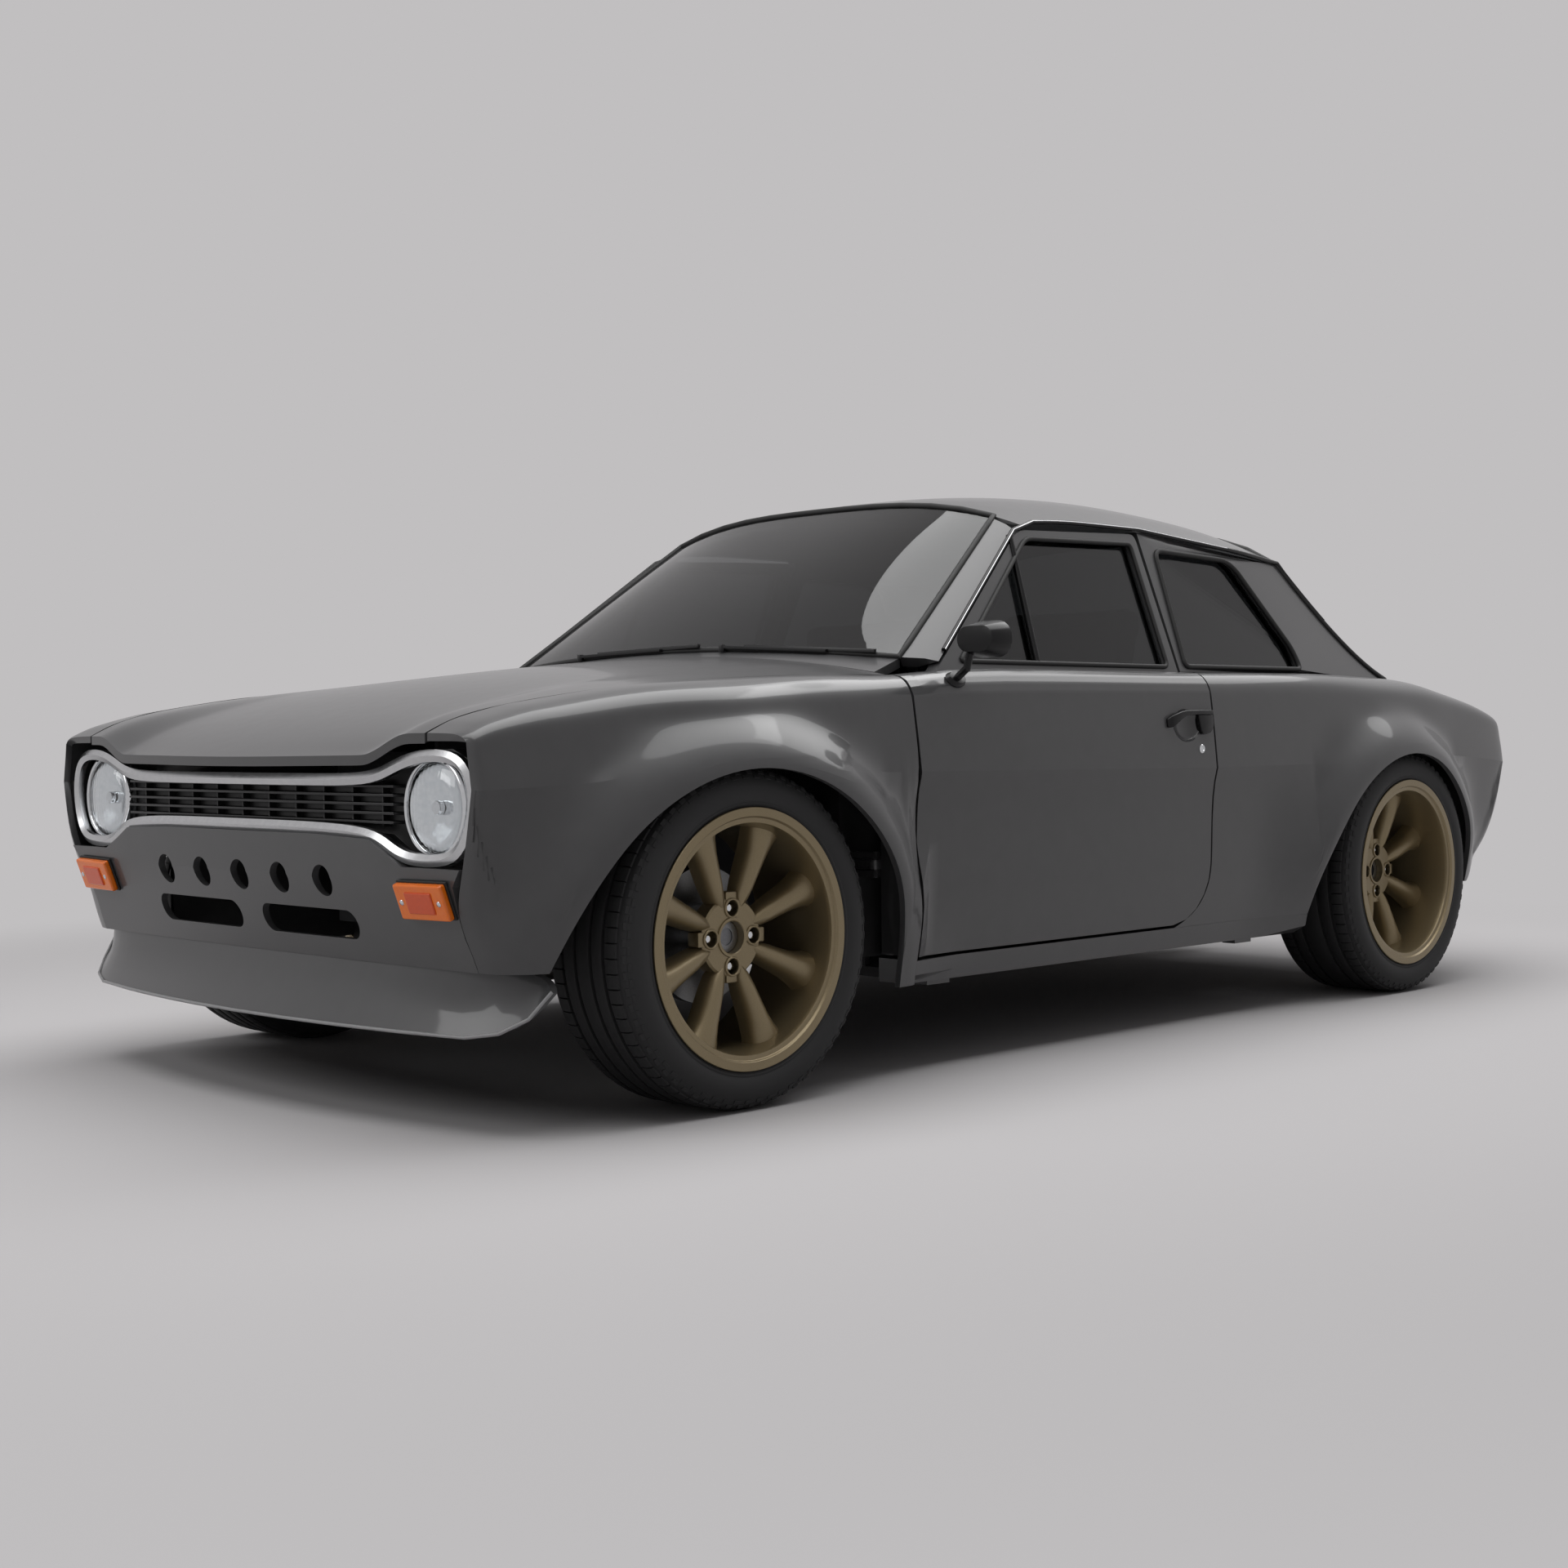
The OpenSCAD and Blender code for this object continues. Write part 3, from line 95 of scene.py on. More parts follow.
# Foot of the windscreen as (along, height) in the middle and at a corner, and how far the glass bows out
SCREEN_FOOT_MIDDLE = (FRONT_AXLE - 0.545, 0.880)
SCREEN_FOOT_CORNER = (FRONT_AXLE - 0.593, 0.848)
SCREEN_FOOT_HALF = 0.640
SCREEN_TOP_SHARE = 0.885
SCREEN_BOW = 0.064
SCREEN_OUTWARDS = (0.567, 0.084, 0.819)

# Side edge of the rear window as three (along, height) points of a curve, its foot, and its bow
REAR_EDGE = ((ROOF_REAR, CANT_REAR), (REAR_AXLE - 0.006, 0.884), (REAR_AXLE - 0.221, BELT - 0.001))
REAR_FOOT_MIDDLE = (REAR_AXLE - 0.292, 0.846)
REAR_BOW = 0.056
REAR_OUTWARDS = Vector((-0.5, 0, 0.86))
# How far a seal stands out from the leaning side
SEAL_PROUD = 0.001

# Sides of the car, and the bodies that a pair of pieces rides on
HANDS = {"left": 1, "right": -1}
ON_BODY = ("body", "body")
ON_DOORS = ("door_left", "door_right")
FLIP = Matrix.Diagonal((1, -1, 1, 1))

# Noise and waves are set in millimetres; a wave texture of scale one repeats every 314
PER_METRE = 1000
WAVE_LENGTH = 314


# Materials
def srgb(code):
    """A six-figure sRGB hex colour as linear RGBA."""
    parts = [int(code[i : i + 2], 16) / 255 for i in (1, 3, 5)]
    return tuple(c / 12.92 if c <= 0.04045 else ((c + 0.055) / 1.055) ** 2.4 for c in parts) + (1.0,)


def put(tree, kind, values=None, links=None, **settings):
    """One node with its settings, socket values and incoming links."""
    node = tree.nodes.new(kind)
    for name, value in settings.items():
        setattr(node, name, value)
    for name, value in (values or {}).items():
        node.inputs[name].default_value = value
    for name, socket in (links or {}).items():
        tree.links.new(socket, node.inputs[name])
    return node


def noise(tree, place, size, detail):
    """A noise with grains of about so many millimetres."""
    values = {"Scale": PER_METRE / size, "Detail": detail}
    return put(tree, "ShaderNodeTexNoise", values, {"Vector": place}).outputs["Fac"]


def dented(tree, height, strength, depth):
    """Joins a bump of so many metres to the material's shader."""
    relief = put(tree, "ShaderNodeBump", {"Strength": strength, "Distance": depth}, {"Height": height})
    tree.links.new(relief.outputs["Normal"], tree.nodes["Principled BSDF"].inputs["Normal"])


def finish_of(name, colours, roughness, metallic=0.0,
              grain=2.0, speck=0.0, bump=0.0, bump_size=1.0, **sockets):
    """A finish whose colour and roughness drift between two values over a noise of so many millimetres."""
    material = bpy.data.materials.new(name)
    material.use_nodes = True
    tree = material.node_tree
    shader = tree.nodes["Principled BSDF"]
    shader.inputs["Metallic"].default_value = metallic
    for socket, value in sockets.items():
        shader.inputs[socket.replace("_", " ")].default_value = value
    place = put(tree, "ShaderNodeTexCoord").outputs["Object"]
    drift = noise(tree, place, grain, 4.0)
    tint = put(tree, "ShaderNodeValToRGB", links={"Fac": drift})
    dark, light = tint.color_ramp.elements
    dark.position = 0.5 - speck
    light.position = 0.5 + speck
    dark.color = srgb(colours[0])
    light.color = srgb(colours[1])
    tree.links.new(tint.outputs["Color"], shader.inputs["Base Color"])
    limits = {"To Min": roughness[0], "To Max": roughness[1]}
    rough = put(tree, "ShaderNodeMapRange", limits, {"Value": drift})
    tree.links.new(rough.outputs["Result"], shader.inputs["Roughness"])
    if bump:
        dented(tree, noise(tree, place, bump_size, 2.0), bump, bump_size / (3 * PER_METRE))
    return material


def fluted(material, pitch, depth):
    """Upright flutes pressed into a lens, so many millimetres apart and deep."""
    tree = material.node_tree
    place = put(tree, "ShaderNodeTexCoord").outputs["Object"]
    bands = put(tree, "ShaderNodeTexWave", {"Scale": WAVE_LENGTH / pitch}, {"Vector": place},
                bands_direction="Y")
    dented(tree, bands.outputs["Fac"], 0.5, depth / PER_METRE)


# Enamel under a thin clear lacquer: dark grey, half gloss, faint orange peel
enamel = finish_of("grey_enamel", ("#434344", "#474748"), (0.34, 0.40), grain=40, speck=0.3,
                   bump=0.02, bump_size=3.0, Coat_Weight=0.5, Coat_Roughness=0.07, Specular_IOR_Level=0.35)
# The same grey, duller, and darker as painted shade inside the shell and under the floor
shaded_shell_enamel = finish_of("enamel_darkened_as_painted_shade", ("#2b2b2c", "#363637"), (0.5, 0.65), grain=60, speck=0.2)
# Moulded black plastic: even, slightly grained
black_plastic = finish_of("moulded_black_plastic", ("#0e0e0f", "#141415"), (0.34, 0.46),
                          grain=5, speck=0.3, bump=0.05)
# Gloss black paint on the mirror, the handles and the window rails
gloss_black = finish_of("gloss_black_paint", ("#0b0b0c", "#101011"), (0.22, 0.28),
                        grain=30, speck=0.3, Specular_IOR_Level=0.3)
# Extruded rubber of seals and gaskets: matt black
seal_rubber = finish_of("seal_rubber", ("#101010", "#181818"), (0.55, 0.7), grain=8, speck=0.3, bump=0.05)
# Pale strip along the lip of the spoiler: a painted highlight where the lip catches the light
painted_lip_highlight = finish_of("pale_paint_as_lip_highlight", ("#8e8e8f", "#989899"), (0.35, 0.45), grain=15, speck=0.3)
# Bright anodised aluminium: silver, satin, faintly clouded
bright_trim = finish_of("bright_anodised_aluminium", ("#c3c4c6", "#cfd0d1"), (0.2, 0.28), 1.0,
                        grain=14, speck=0.3)
# Chromium plate: near mirror
chrome = finish_of("chromium_plate", ("#d2d4d6", "#dcdee0"), (0.05, 0.1), 1.0, grain=10, speck=0.3)
# Silvered lamp bowl: bright, softly dappled
lamp_silver = finish_of("lamp_bowl_silver", ("#d9dde0", "#e6e9ea"), (0.08, 0.16), 1.0, grain=9, speck=0.25)
# Satin bronze wheel paint: fine flake in a brown-gold base
bronze = finish_of("satin_bronze_paint", ("#84765a", "#8f8164"), (0.34, 0.42), 0.7, grain=1.2, speck=0.25,
                   bump=0.03, Coat_Weight=0.25, Coat_Roughness=0.2)
# Tyre rubber: dull black, a little grey
tyre_rubber = finish_of("tyre_rubber", ("#161617", "#202021"), (0.62, 0.78), grain=12, speck=0.25,
                        bump=0.12, bump_size=1.5)
# Ground cast iron of the brakes
brake_iron = finish_of("ground_cast_iron", ("#77787a", "#8c8d8f"), (0.3, 0.42), 1.0, grain=3, speck=0.3)
# Painted, machined, cast and aluminised metal below
chassis_paint = finish_of("chassis_black", ("#141415", "#1e1e1f"), (0.45, 0.6), grain=20, speck=0.3)
hub_steel = finish_of("machined_steel", ("#6c6d70", "#808184"), (0.3, 0.45), 1.0, grain=6, speck=0.3)
engine_iron = finish_of("cast_engine_iron", ("#3c3d3f", "#4a4b4d"), (0.55, 0.7), 0.4,
                        grain=5, speck=0.3, bump=0.2)
exhaust_steel = finish_of("aluminised_steel", ("#73706b", "#8b8883"), (0.35, 0.5), 0.9, grain=15, speck=0.3)
# Cabin: grained vinyl, woven cloth, leather on the steering wheel
cabin_vinyl = finish_of("grained_vinyl", ("#151516", "#1d1d1e"), (0.5, 0.6), grain=4, speck=0.3,
                        bump=0.3, bump_size=2.0)
seat_cloth = finish_of("woven_seat_cloth", ("#202022", "#2c2c2e"), (0.8, 0.95), grain=1.5, speck=0.2,
                       bump=0.4, Sheen_Weight=0.3)
rim_leather = finish_of("rim_leather", ("#121213", "#1a1a1b"), (0.4, 0.5), grain=2.5, speck=0.3, bump=0.25)
# Lamp lenses of coloured acrylic
amber = finish_of("amber_acrylic", ("#ee6f0c", "#f27a14"), (0.16, 0.22), grain=6, speck=0.3, Coat_Weight=0.2)
deep_amber = finish_of("deep_amber_acrylic", ("#d44a10", "#dc5214"), (0.18, 0.24),
                       grain=6, speck=0.3, Coat_Weight=0.2)
red_acrylic = finish_of("red_acrylic", ("#8c0c0c", "#a01010"), (0.16, 0.22),
                        grain=6, speck=0.3, Coat_Weight=0.2)
# Tinted window glass and clear lamp glass, fluted
tinted_glass = finish_of("tinted_glass", ("#565859", "#5a5c5d"), (0.0, 0.0), grain=200, speck=0.3,
                         Transmission_Weight=1.0, IOR=1.45)
lamp_glass = finish_of("clear_lamp_glass", ("#f6f8f9", "#fafbfc"), (0.0, 0.02), grain=60, speck=0.3,
                       Transmission_Weight=1.0, IOR=1.5)
fluted(lamp_glass, 11, 0.15)


# Ways of modelling
def alone(piece):
    """Only this piece selected and active."""
    bpy.ops.object.select_all(action="DESELECT")
    piece.select_set(True)
    bpy.context.view_layer.objects.active = piece


def fresh(add, **settings):
    """A new object from one of Blender's own shapes."""
    bpy.ops.object.select_all(action="DESELECT")
    add(**settings)
    return bpy.context.object


def opened(piece, mode="VERT"):
    """Opens a piece for editing with the whole of its mesh selected."""
    alone(piece)
    bpy.ops.object.mode_set(mode="EDIT")
    bpy.ops.mesh.select_mode(type=mode)
    bpy.ops.mesh.select_all(action="SELECT")


def shut():
    """Ends an edit."""
    bpy.ops.object.mode_set(mode="OBJECT")


def sealed(gap=None):
    """Ends an edit with all faces outwards, and points closer than the gap merged."""
    bpy.ops.mesh.select_all(action="SELECT")
    if gap:
        bpy.ops.mesh.remove_doubles(threshold=gap)
    bpy.ops.mesh.normals_make_consistent(inside=False)
    shut()


def apply(piece, kind, **settings):
    """One modifier, set and applied."""
    alone(piece)
    made = piece.modifiers.new(kind.title(), kind)
    for name, value in settings.items():
        setattr(made, name, value)
    bpy.ops.object.modifier_apply(modifier=made.name)


def eased_edges(piece, width, segments, angle):
    """Rounds over the edges that fold by more than so many degrees."""
    apply(piece, "BEVEL", width=width, segments=segments,
          limit_method="ANGLE", angle_limit=math.radians(angle))


def subdivided(piece, levels, **settings):
    """Subdivides a piece so many times."""
    apply(piece, "SUBSURF", levels=levels, render_levels=levels, **settings)


def cut(piece, tool):
    """Takes a tool's form out of a piece, and removes the tool."""
    apply(piece, "BOOLEAN", operation="DIFFERENCE", object=tool, solver="EXACT")
    bpy.data.objects.remove(tool)


def smooth(piece, degrees):
    """Shades a piece smooth, apart from edges that fold by more than so many degrees."""
    alone(piece)
    bpy.ops.object.shade_smooth_by_angle(angle=math.radians(degrees))


def placed(piece, move):
    """A piece moved in its mesh."""
    piece.data.transform(move)
    return piece


def shift(x, y, z):
    """A move without a turn."""
    return Matrix.Translation((x, y, z))


def turned(degrees, axis):
    """A turn about one axis."""
    return Matrix.Rotation(math.radians(degrees), 4, axis)


def lathe(profile, steps=96):
    """A turned piece about Z from (radius, height) points: a vertex drawn along the profile, then spun."""
    piece = fresh(bpy.ops.mesh.primitive_plane_add, size=0.001)
    opened(piece)
    bpy.ops.mesh.merge(type="CENTER")
    work = bmesh.from_edit_mesh(piece.data)
    work.verts.ensure_lookup_table()
    work.verts[0].co = (profile[0][0], 0, profile[0][1])
    for (r0, z0), (r1, z1) in zip(profile, profile[1:]):
        bpy.ops.mesh.extrude_region_move(TRANSFORM_OT_translate={"value": (r1 - r0, 0, z1 - z0)})
    bpy.ops.mesh.select_all(action="SELECT")
    bpy.ops.mesh.spin(steps=steps, angle=math.tau, center=(0, 0, 0), axis=(0, 0, 1))
    sealed(1e-5)
    return piece


def drawn_out(rings):
    """A closed piece drawn from its first ring through the others by extruding."""
    piece = fresh(bpy.ops.mesh.primitive_circle_add, vertices=len(rings[0]), fill_type="NGON")
    for vertex, point in zip(piece.data.vertices, rings[0]):
        vertex.co = point
    opened(piece)
    for before, ring in zip(rings, rings[1:]):
        bpy.ops.mesh.extrude_region()
        work = bmesh.from_edit_mesh(piece.data)
        for vertex in work.verts:
            if vertex.select:
                nearest = min(range(len(before)), key=lambda i: (Vector(before[i]) - vertex.co).length)
                vertex.co = ring[nearest]
        bmesh.update_edit_mesh(piece.data)
    sealed()
    return piece


def block(low, high, soft=0.002, steps=2):
    """A cube drawn to two corners with softened edges."""
    piece = fresh(bpy.ops.mesh.primitive_cube_add, size=1)
    low, high = Vector(low), Vector(high)
    placed(piece, Matrix.Translation((low + high) / 2) @ Matrix.Diagonal((high - low).to_4d()))
    apply(piece, "BEVEL", width=soft, segments=steps)
    return piece


def cord_of(points, radius, closed=False):
    """A round strip along points, as a curve with a bevel made a mesh."""
    piece = fresh(bpy.ops.curve.primitive_nurbs_path_add)
    curve = piece.data
    curve.splines.clear()
    line = curve.splines.new("POLY")
    line.points.add(len(points) - 1)
    for knot, point in zip(line.points, points):
        knot.co = (*point, 1)
    line.use_cyclic_u = closed
    curve.dimensions = "3D"
    curve.bevel_depth = radius
    curve.bevel_resolution = 3
    curve.use_fill_caps = True
    bpy.ops.object.convert(target="MESH")
    piece = bpy.context.object
    opened(piece)
    sealed(1e-6)
    smooth(piece, 50)
    return piece


def ring_of(piece, count):
    """Copies of a piece all round the Z axis, as one mesh."""
    opened(piece)
    steps = count - 1
    sweep = math.tau * steps / count
    bpy.ops.mesh.spin(steps=steps, dupli=True, angle=sweep, center=(0, 0, 0), axis=(0, 0, 1))
    shut()
    return piece


def joined(pieces):
    """Several parts of one piece as one mesh."""
    bpy.ops.object.select_all(action="DESELECT")
    for piece in pieces:
        piece.select_set(True)
    bpy.context.view_layer.objects.active = pieces[0]
    bpy.ops.object.join()
    return bpy.context.object


def copy_of(piece, move=None):
    """Another copy with its own mesh, moved in its mesh."""
    twin = piece.copy()
    twin.data = piece.data.copy()
    scene.collection.objects.link(twin)
    if move is not None:
        placed(twin, move)
        if move.determinant() < 0:
            opened(twin)
            bpy.ops.mesh.flip_normals()
            shut()
    return twin


def cad_copy(node):
    """A copy of a CAD node's mesh with its points merged and its triangles joined into quads."""
    piece = bpy.data.objects.new(node + "_copy", frame["nodes"][node].data.copy())
    scene.collection.objects.link(piece)
    alone(piece)
    if piece.data.has_custom_normals:
        bpy.ops.mesh.customdata_custom_splitnormals_clear()
    opened(piece)
    bpy.ops.mesh.remove_doubles(threshold=2e-5)
    bpy.ops.mesh.tris_convert_to_quads(face_threshold=math.radians(28), shape_threshold=math.radians(120))
    shut()
    return piece


def softened(node, width, segments=2):
    """A CAD node's copy with its edges rounded over."""
    piece = cad_copy(node)
    eased_edges(piece, width, segments, 35)
    smooth(piece, 40)
    return piece


def done(piece, name, body, material, stands_for=()):
    """A finished piece: its name, finish, body, and the CAD nodes it stands for."""
    piece.name = name
    piece.data.name = name
    piece.data.materials.clear()
    piece.data.materials.append(material)
    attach(piece, body)
    if stands_for:
        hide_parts(*stands_for)


def both_sides(piece, name, bodies, material, stands_for=()):
    """A left piece and its mirrored right copy, each on its own body."""
    other = copy_of(piece, FLIP)
    done(piece, name + "_left", bodies[0], material, stands_for)
    done(other, name + "_right", bodies[1], material, stands_for)


# Surfaces of the cabin
def mix(a, b, t):
    """From a to b by a share."""
    return a + (b - a) * t


def bend(a, b, c, t):
    """From a to c by a share, drawn towards b on the way."""
    return a * (1 - t) ** 2 + b * 2 * t * (1 - t) + c * t * t


def ease(t):
    """A share from 0 to 1 with a soft start and end."""
    t = min(1.0, max(0.0, t))
    return t * t * (3 - 2 * t)


def lean_y(x, z):
    """Outside of the leaning side of the cabin at a place."""
    past = max(0.0, TAPER_FROM - x)
    return HALF_WIDTH - SHOULDER - LEAN * (z - BELT) - TAPER * past * past / (past + TAPER_EASE)


def cant_z(x):
    """Height of the roof's side edge: it drops a little to the front and more to the rear."""
    if x > CANT_BEND:
        return CANT_TOP - CANT_FRONT_DROP * (max(0.0, x - CANT_FRONT) / CANT_FRONT_RUN) ** 2
    return mix(CANT_TOP, CANT_REAR, (CANT_BEND - x) / (CANT_BEND - ROOF_REAR))


def roof_side(u):
    """Side edge of the roof, from front to rear."""
    x = mix(ROOF_FRONT, ROOF_REAR, u)
    return Vector((x, lean_y(x, cant_z(x)), cant_z(x)))


def roof_rim(u, v):
    """Front (0) or rear (1) edge of the roof, across the car."""
    mid = ROOF_REAR_MIDDLE if u else ROOF_FRONT_MIDDLE
    end = roof_side(u)
    return Vector((mix(mid.x, end.x, v * v), end.y * v, mid.z - (mid.z - end.z) * abs(v) ** ROOF_ROUNDING))


def screen_point(v, t):
    """Outside of the windscreen, across from -1 to 1 and upwards from 0 to 1."""
    x, z = (mix(middle, corner, v * v) for middle, corner in zip(SCREEN_FOOT_MIDDLE, SCREEN_FOOT_CORNER))
    foot = Vector((x, SCREEN_FOOT_HALF * v, z))
    out_x, out_y, out_z = SCREEN_OUTWARDS
    bow = Vector((out_x, out_y * v, out_z)) * SCREEN_BOW * t * (1 - t) * (1 - abs(v) ** 4)
    return mix(foot, roof_rim(0, SCREEN_TOP_SHARE * v), t) + bow


def rear_side(t):
    """Side edge of the rear window, downwards from 0 to 1."""
    x, z = (bend(*values, t) for values in zip(*REAR_EDGE))
    return Vector((x, lean_y(x, z), z))


def rear_low(v):
    """Foot of the rear window, across the car."""
    x, z = REAR_FOOT_MIDDLE
    end = rear_side(1)
    return Vector((mix(x, end.x, v * v), end.y * v, mix(z, end.z, v * v)))


def rear_point(v, t):
    """Outside of the rear window, across from -1 to 1 and downwards from 0 to 1."""
    hand = 1 if v > 0 else -1
    edge = rear_side(t)
    edge.y *= hand
    pull = (edge - mix(roof_rim(1, hand), rear_low(hand), t)) * abs(v) ** 3
    bow = REAR_OUTWARDS * REAR_BOW * t * (1 - t) * (1 - abs(v) ** 2.4)
    return mix(roof_rim(1, v), rear_low(v), t) + pull + bow


def round_the(point, steps=12):
    """Points round the edge of a pane given as a function of (across, along)."""
    shares = [k / steps for k in range(steps)]
    return ([point(2 * k - 1, 0) for k in shares] + [point(1, k) for k in shares]
            + [point(1 - 2 * k, 1) for k in shares] + [point(-1, 1 - k) for k in shares])


def rounded(corners, steps=6):
    """A loop from (x, z, radius) corners, rounded and laid on the leaning side."""
    loop = []
    for i, (*corner, radius) in enumerate(corners):
        here = Vector(corner)
        before = (Vector(corners[i - 1][:2]) - here).normalized()
        after = (Vector(corners[(i + 1) % len(corners)][:2]) - here).normalized()
        for k in range(steps + 1):
            t = k / steps
            x, z = here + before * radius * (1 - t) ** 2 + after * radius * t**2
            loop.append(Vector((x, lean_y(x, z) + SEAL_PROUD, z)))
    return loop


# Body panels: height of the waist crease along the car, and where the skin is tucked in below it
CREASE = [
    (REAR_AXLE - 0.755, 0.588), (REAR_AXLE - 0.639, 0.600), (REAR_AXLE - 0.400, 0.614),
    (REAR_AXLE - 0.221, 0.617), (REAR_AXLE, 0.612), (REAR_AXLE + 0.325, 0.606),
    (REAR_AXLE + 0.948, 0.604), (FRONT_AXLE - 0.720, 0.611), (FRONT_AXLE - 0.495, 0.613),
    (FRONT_AXLE - 0.273, 0.614), (FRONT_AXLE + 0.135, 0.611), (FRONT_AXLE + 0.405, 0.606),
    (FRONT_AXLE + 0.575, 0.600),
]
CREASE_BEYOND = 0.6
CREASE_LOWEST = 0.59
CREASE_HIGHEST = 0.63
TUCK = 0.0080
TUCK_BAND = 0.055
TUCK_FADE_FROM = 0.10
TUCK_FADE = 0.16
SKIN_INSIDE = HALF_WIDTH - 0.060
ARCH_RADIUS = 0.42
ARCH_EASE = 0.07


def pressed_panel(node, levels=2, sharp=38, crease_line=False):
    """A CAD panel as a smooth pressing: folded edges stay crisp, the rest flows."""
    piece = cad_copy(node)
    opened(piece, "EDGE")
    work = bmesh.from_edit_mesh(piece.data)
    for edge in work.edges:
        fold = edge.calc_face_angle(0) if len(edge.link_faces) == 2 else math.pi
        start, end = (vertex.co for vertex in edge.verts)
        level = abs(end.x - start.x) > 3 * abs(end.z - start.z)
        waist = crease_line and level and CREASE_LOWEST < start.z < CREASE_HIGHEST
        edge.select = fold > math.radians(sharp) or (waist and fold > math.radians(5))
    work.select_flush_mode()
    bmesh.update_edit_mesh(piece.data)
    bpy.ops.transform.edge_crease(value=1)
    bpy.ops.mesh.mark_sharp()
    shut()
    if levels:
        subdivided(piece, levels)
    smooth(piece, 30)
    return piece


def crease_z(x):
    """Height of the waist crease at a place along the car."""
    for (rear, rear_z), (front, front_z) in zip(CREASE, CREASE[1:]):
        if rear <= x <= front:
            return mix(rear_z, front_z, (x - rear) / (front - rear))
    return CREASE_BEYOND


def press_crease(piece):
    """Tucks the skin in under the waist crease, so that the fold shows as an edge; the arches stay full."""
    for vertex in piece.data.vertices:
        x, y, z = vertex.co
        if abs(y) < SKIN_INSIDE:
            continue
        below = crease_z(x) - z
        from_hub = min(math.hypot(x - axle, z - HUB_HEIGHT) for axle in (FRONT_AXLE, REAR_AXLE))
        fade = 1 - ease((below - TUCK_FADE_FROM) / TUCK_FADE)
        tuck = TUCK * ease(below / TUCK_BAND) * fade * ease((from_hub - ARCH_RADIUS) / ARCH_EASE)
        vertex.co.y -= math.copysign(tuck, y)


# Panels with the levels of smoothing that each one takes
PANELS = {
    "front_wing_left": 2, "front_wing_right": 2, "quarter_left": 2, "quarter_right": 2,
    "roof": 2, "bonnet": 2, "boot_lid": 1, "scuttle": 1, "rear_deck": 1, "rear_panel": 1,
    "sill_left": 0, "sill_right": 0, "window_side_left": 0, "window_side_right": 0,
    "front_panel": 0, "chin_spoiler": 1, "door_left": 0, "door_right": 0,
}
for node, levels in PANELS.items():
    waist = "wing" in node or "quarter" in node or "door" in node
    panel = pressed_panel(node, levels, crease_line=waist)
    if "door" in node:
        subdivided(panel, 2, subdivision_type="SIMPLE")
    if waist:
        press_crease(panel)
        smooth(panel, 30)
    done(panel, node + "_pressing", frame["nodes"][node]["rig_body"], enamel, [node])

# CAD nodes that stay as they are take a finish
PLAIN = {
    # The floor pan, boot floor, wheelhouses and engine bay take the grey darkened as painted shade
    shaded_shell_enamel: ["floor_pan", "boot_floor", "wheelhouses", "engine_bay"],
    engine_iron: ["drivetrain"],
    chassis_paint: ["front_beam", "rear_axle"],
    hub_steel: ["knuckle_left", "knuckle_right"],
    brake_iron: ["disc_front_left", "disc_front_right", "drum_rear_left", "drum_rear_right"],
    tinted_glass: ["quarter_glass", "door_glass_left", "door_glass_right"],
}
for material, nodes in PLAIN.items():
    for node in nodes:
        mesh = frame["nodes"][node].data
        mesh.materials.clear()
        mesh.materials.append(material)

# Wheels: a deep barrel with a stepped lip, a drilled hub with four ears and eight leaf-shaped spokes
# Each section of a spoke: radius, half width, height of the ridge and depth of the back, from the hub face
SPOKE = [
    (0.060, 0.0070, 0.0005, 0.026),
    (0.068, 0.0135, 0.0040, 0.028),
    (0.080, 0.0180, 0.0080, 0.029),
    (0.105, 0.0215, 0.0125, 0.029),
    (0.135, 0.0240, 0.0165, 0.028),
    (0.165, 0.0270, 0.0200, 0.026),
    (0.188, 0.0325, 0.0225, 0.023),
    (0.2085, 0.0410, 0.0240, 0.019),
]
SPOKES = 8
SPOKE_TURN = 22.5
SPOKE_ROUNDING = 0.8
SECTION_STEP = 22.5
NUTS = 4
NUT_HOLE = 0.0145
TO_NUT = shift(0.054, 0, 0)
# Barrel as (outside the rim, depth); the rear flange's depths count from the rear edge
LIP_OUTSIDE = [(0.006, -0.0012), (0.006, -0.0040), (0, -0.009), (-0.019, -0.014)]
REAR_FLANGE = [(-0.019, 0.014), (0, 0.009), (0, 0), (-0.010, 0), (-0.029, 0.016)]
LIP_STEPS = [
    (-0.0275, -0.030), (-0.0245, -0.016), (-0.0235, -0.0085), (-0.0225, -0.0065), (-0.0140, -0.0055),
    (-0.0125, -0.0040), (-0.0115, -0.0008), (-0.0105, 0.0), (0.005, 0.0), (0.006, -0.0012),
]
# The barrel and the tyre are drawn this much narrower than the wheel's width
WIDTH_SPARE = 0.006


def nut_drill():
    """A drill at the place of one nut."""
    return placed(lathe([(0, -0.022), (NUT_HOLE, -0.022), (NUT_HOLE, 0.02), (0, 0.02)], 32), TO_NUT)


def wheel_barrel(width, dish):
    """The rim's barrel with its stepped lip."""
    wide = width - WIDTH_SPARE
    profile = LIP_OUTSIDE + [(out, z - wide) for out, z in REAR_FLANGE] + [(-0.029, -dish)] + LIP_STEPS
    return lathe([(RIM + out, z) for out, z in profile], 128)


def spoke_section(radius, half, ridge, back):
    """One arched section across a spoke."""
    angles = [math.radians(SECTION_STEP * k) for k in range(-4, 5)]
    return [(radius, half * math.sin(a), -back + (ridge + back) * max(0.0, math.cos(a)) ** SPOKE_ROUNDING)
            for a in angles]


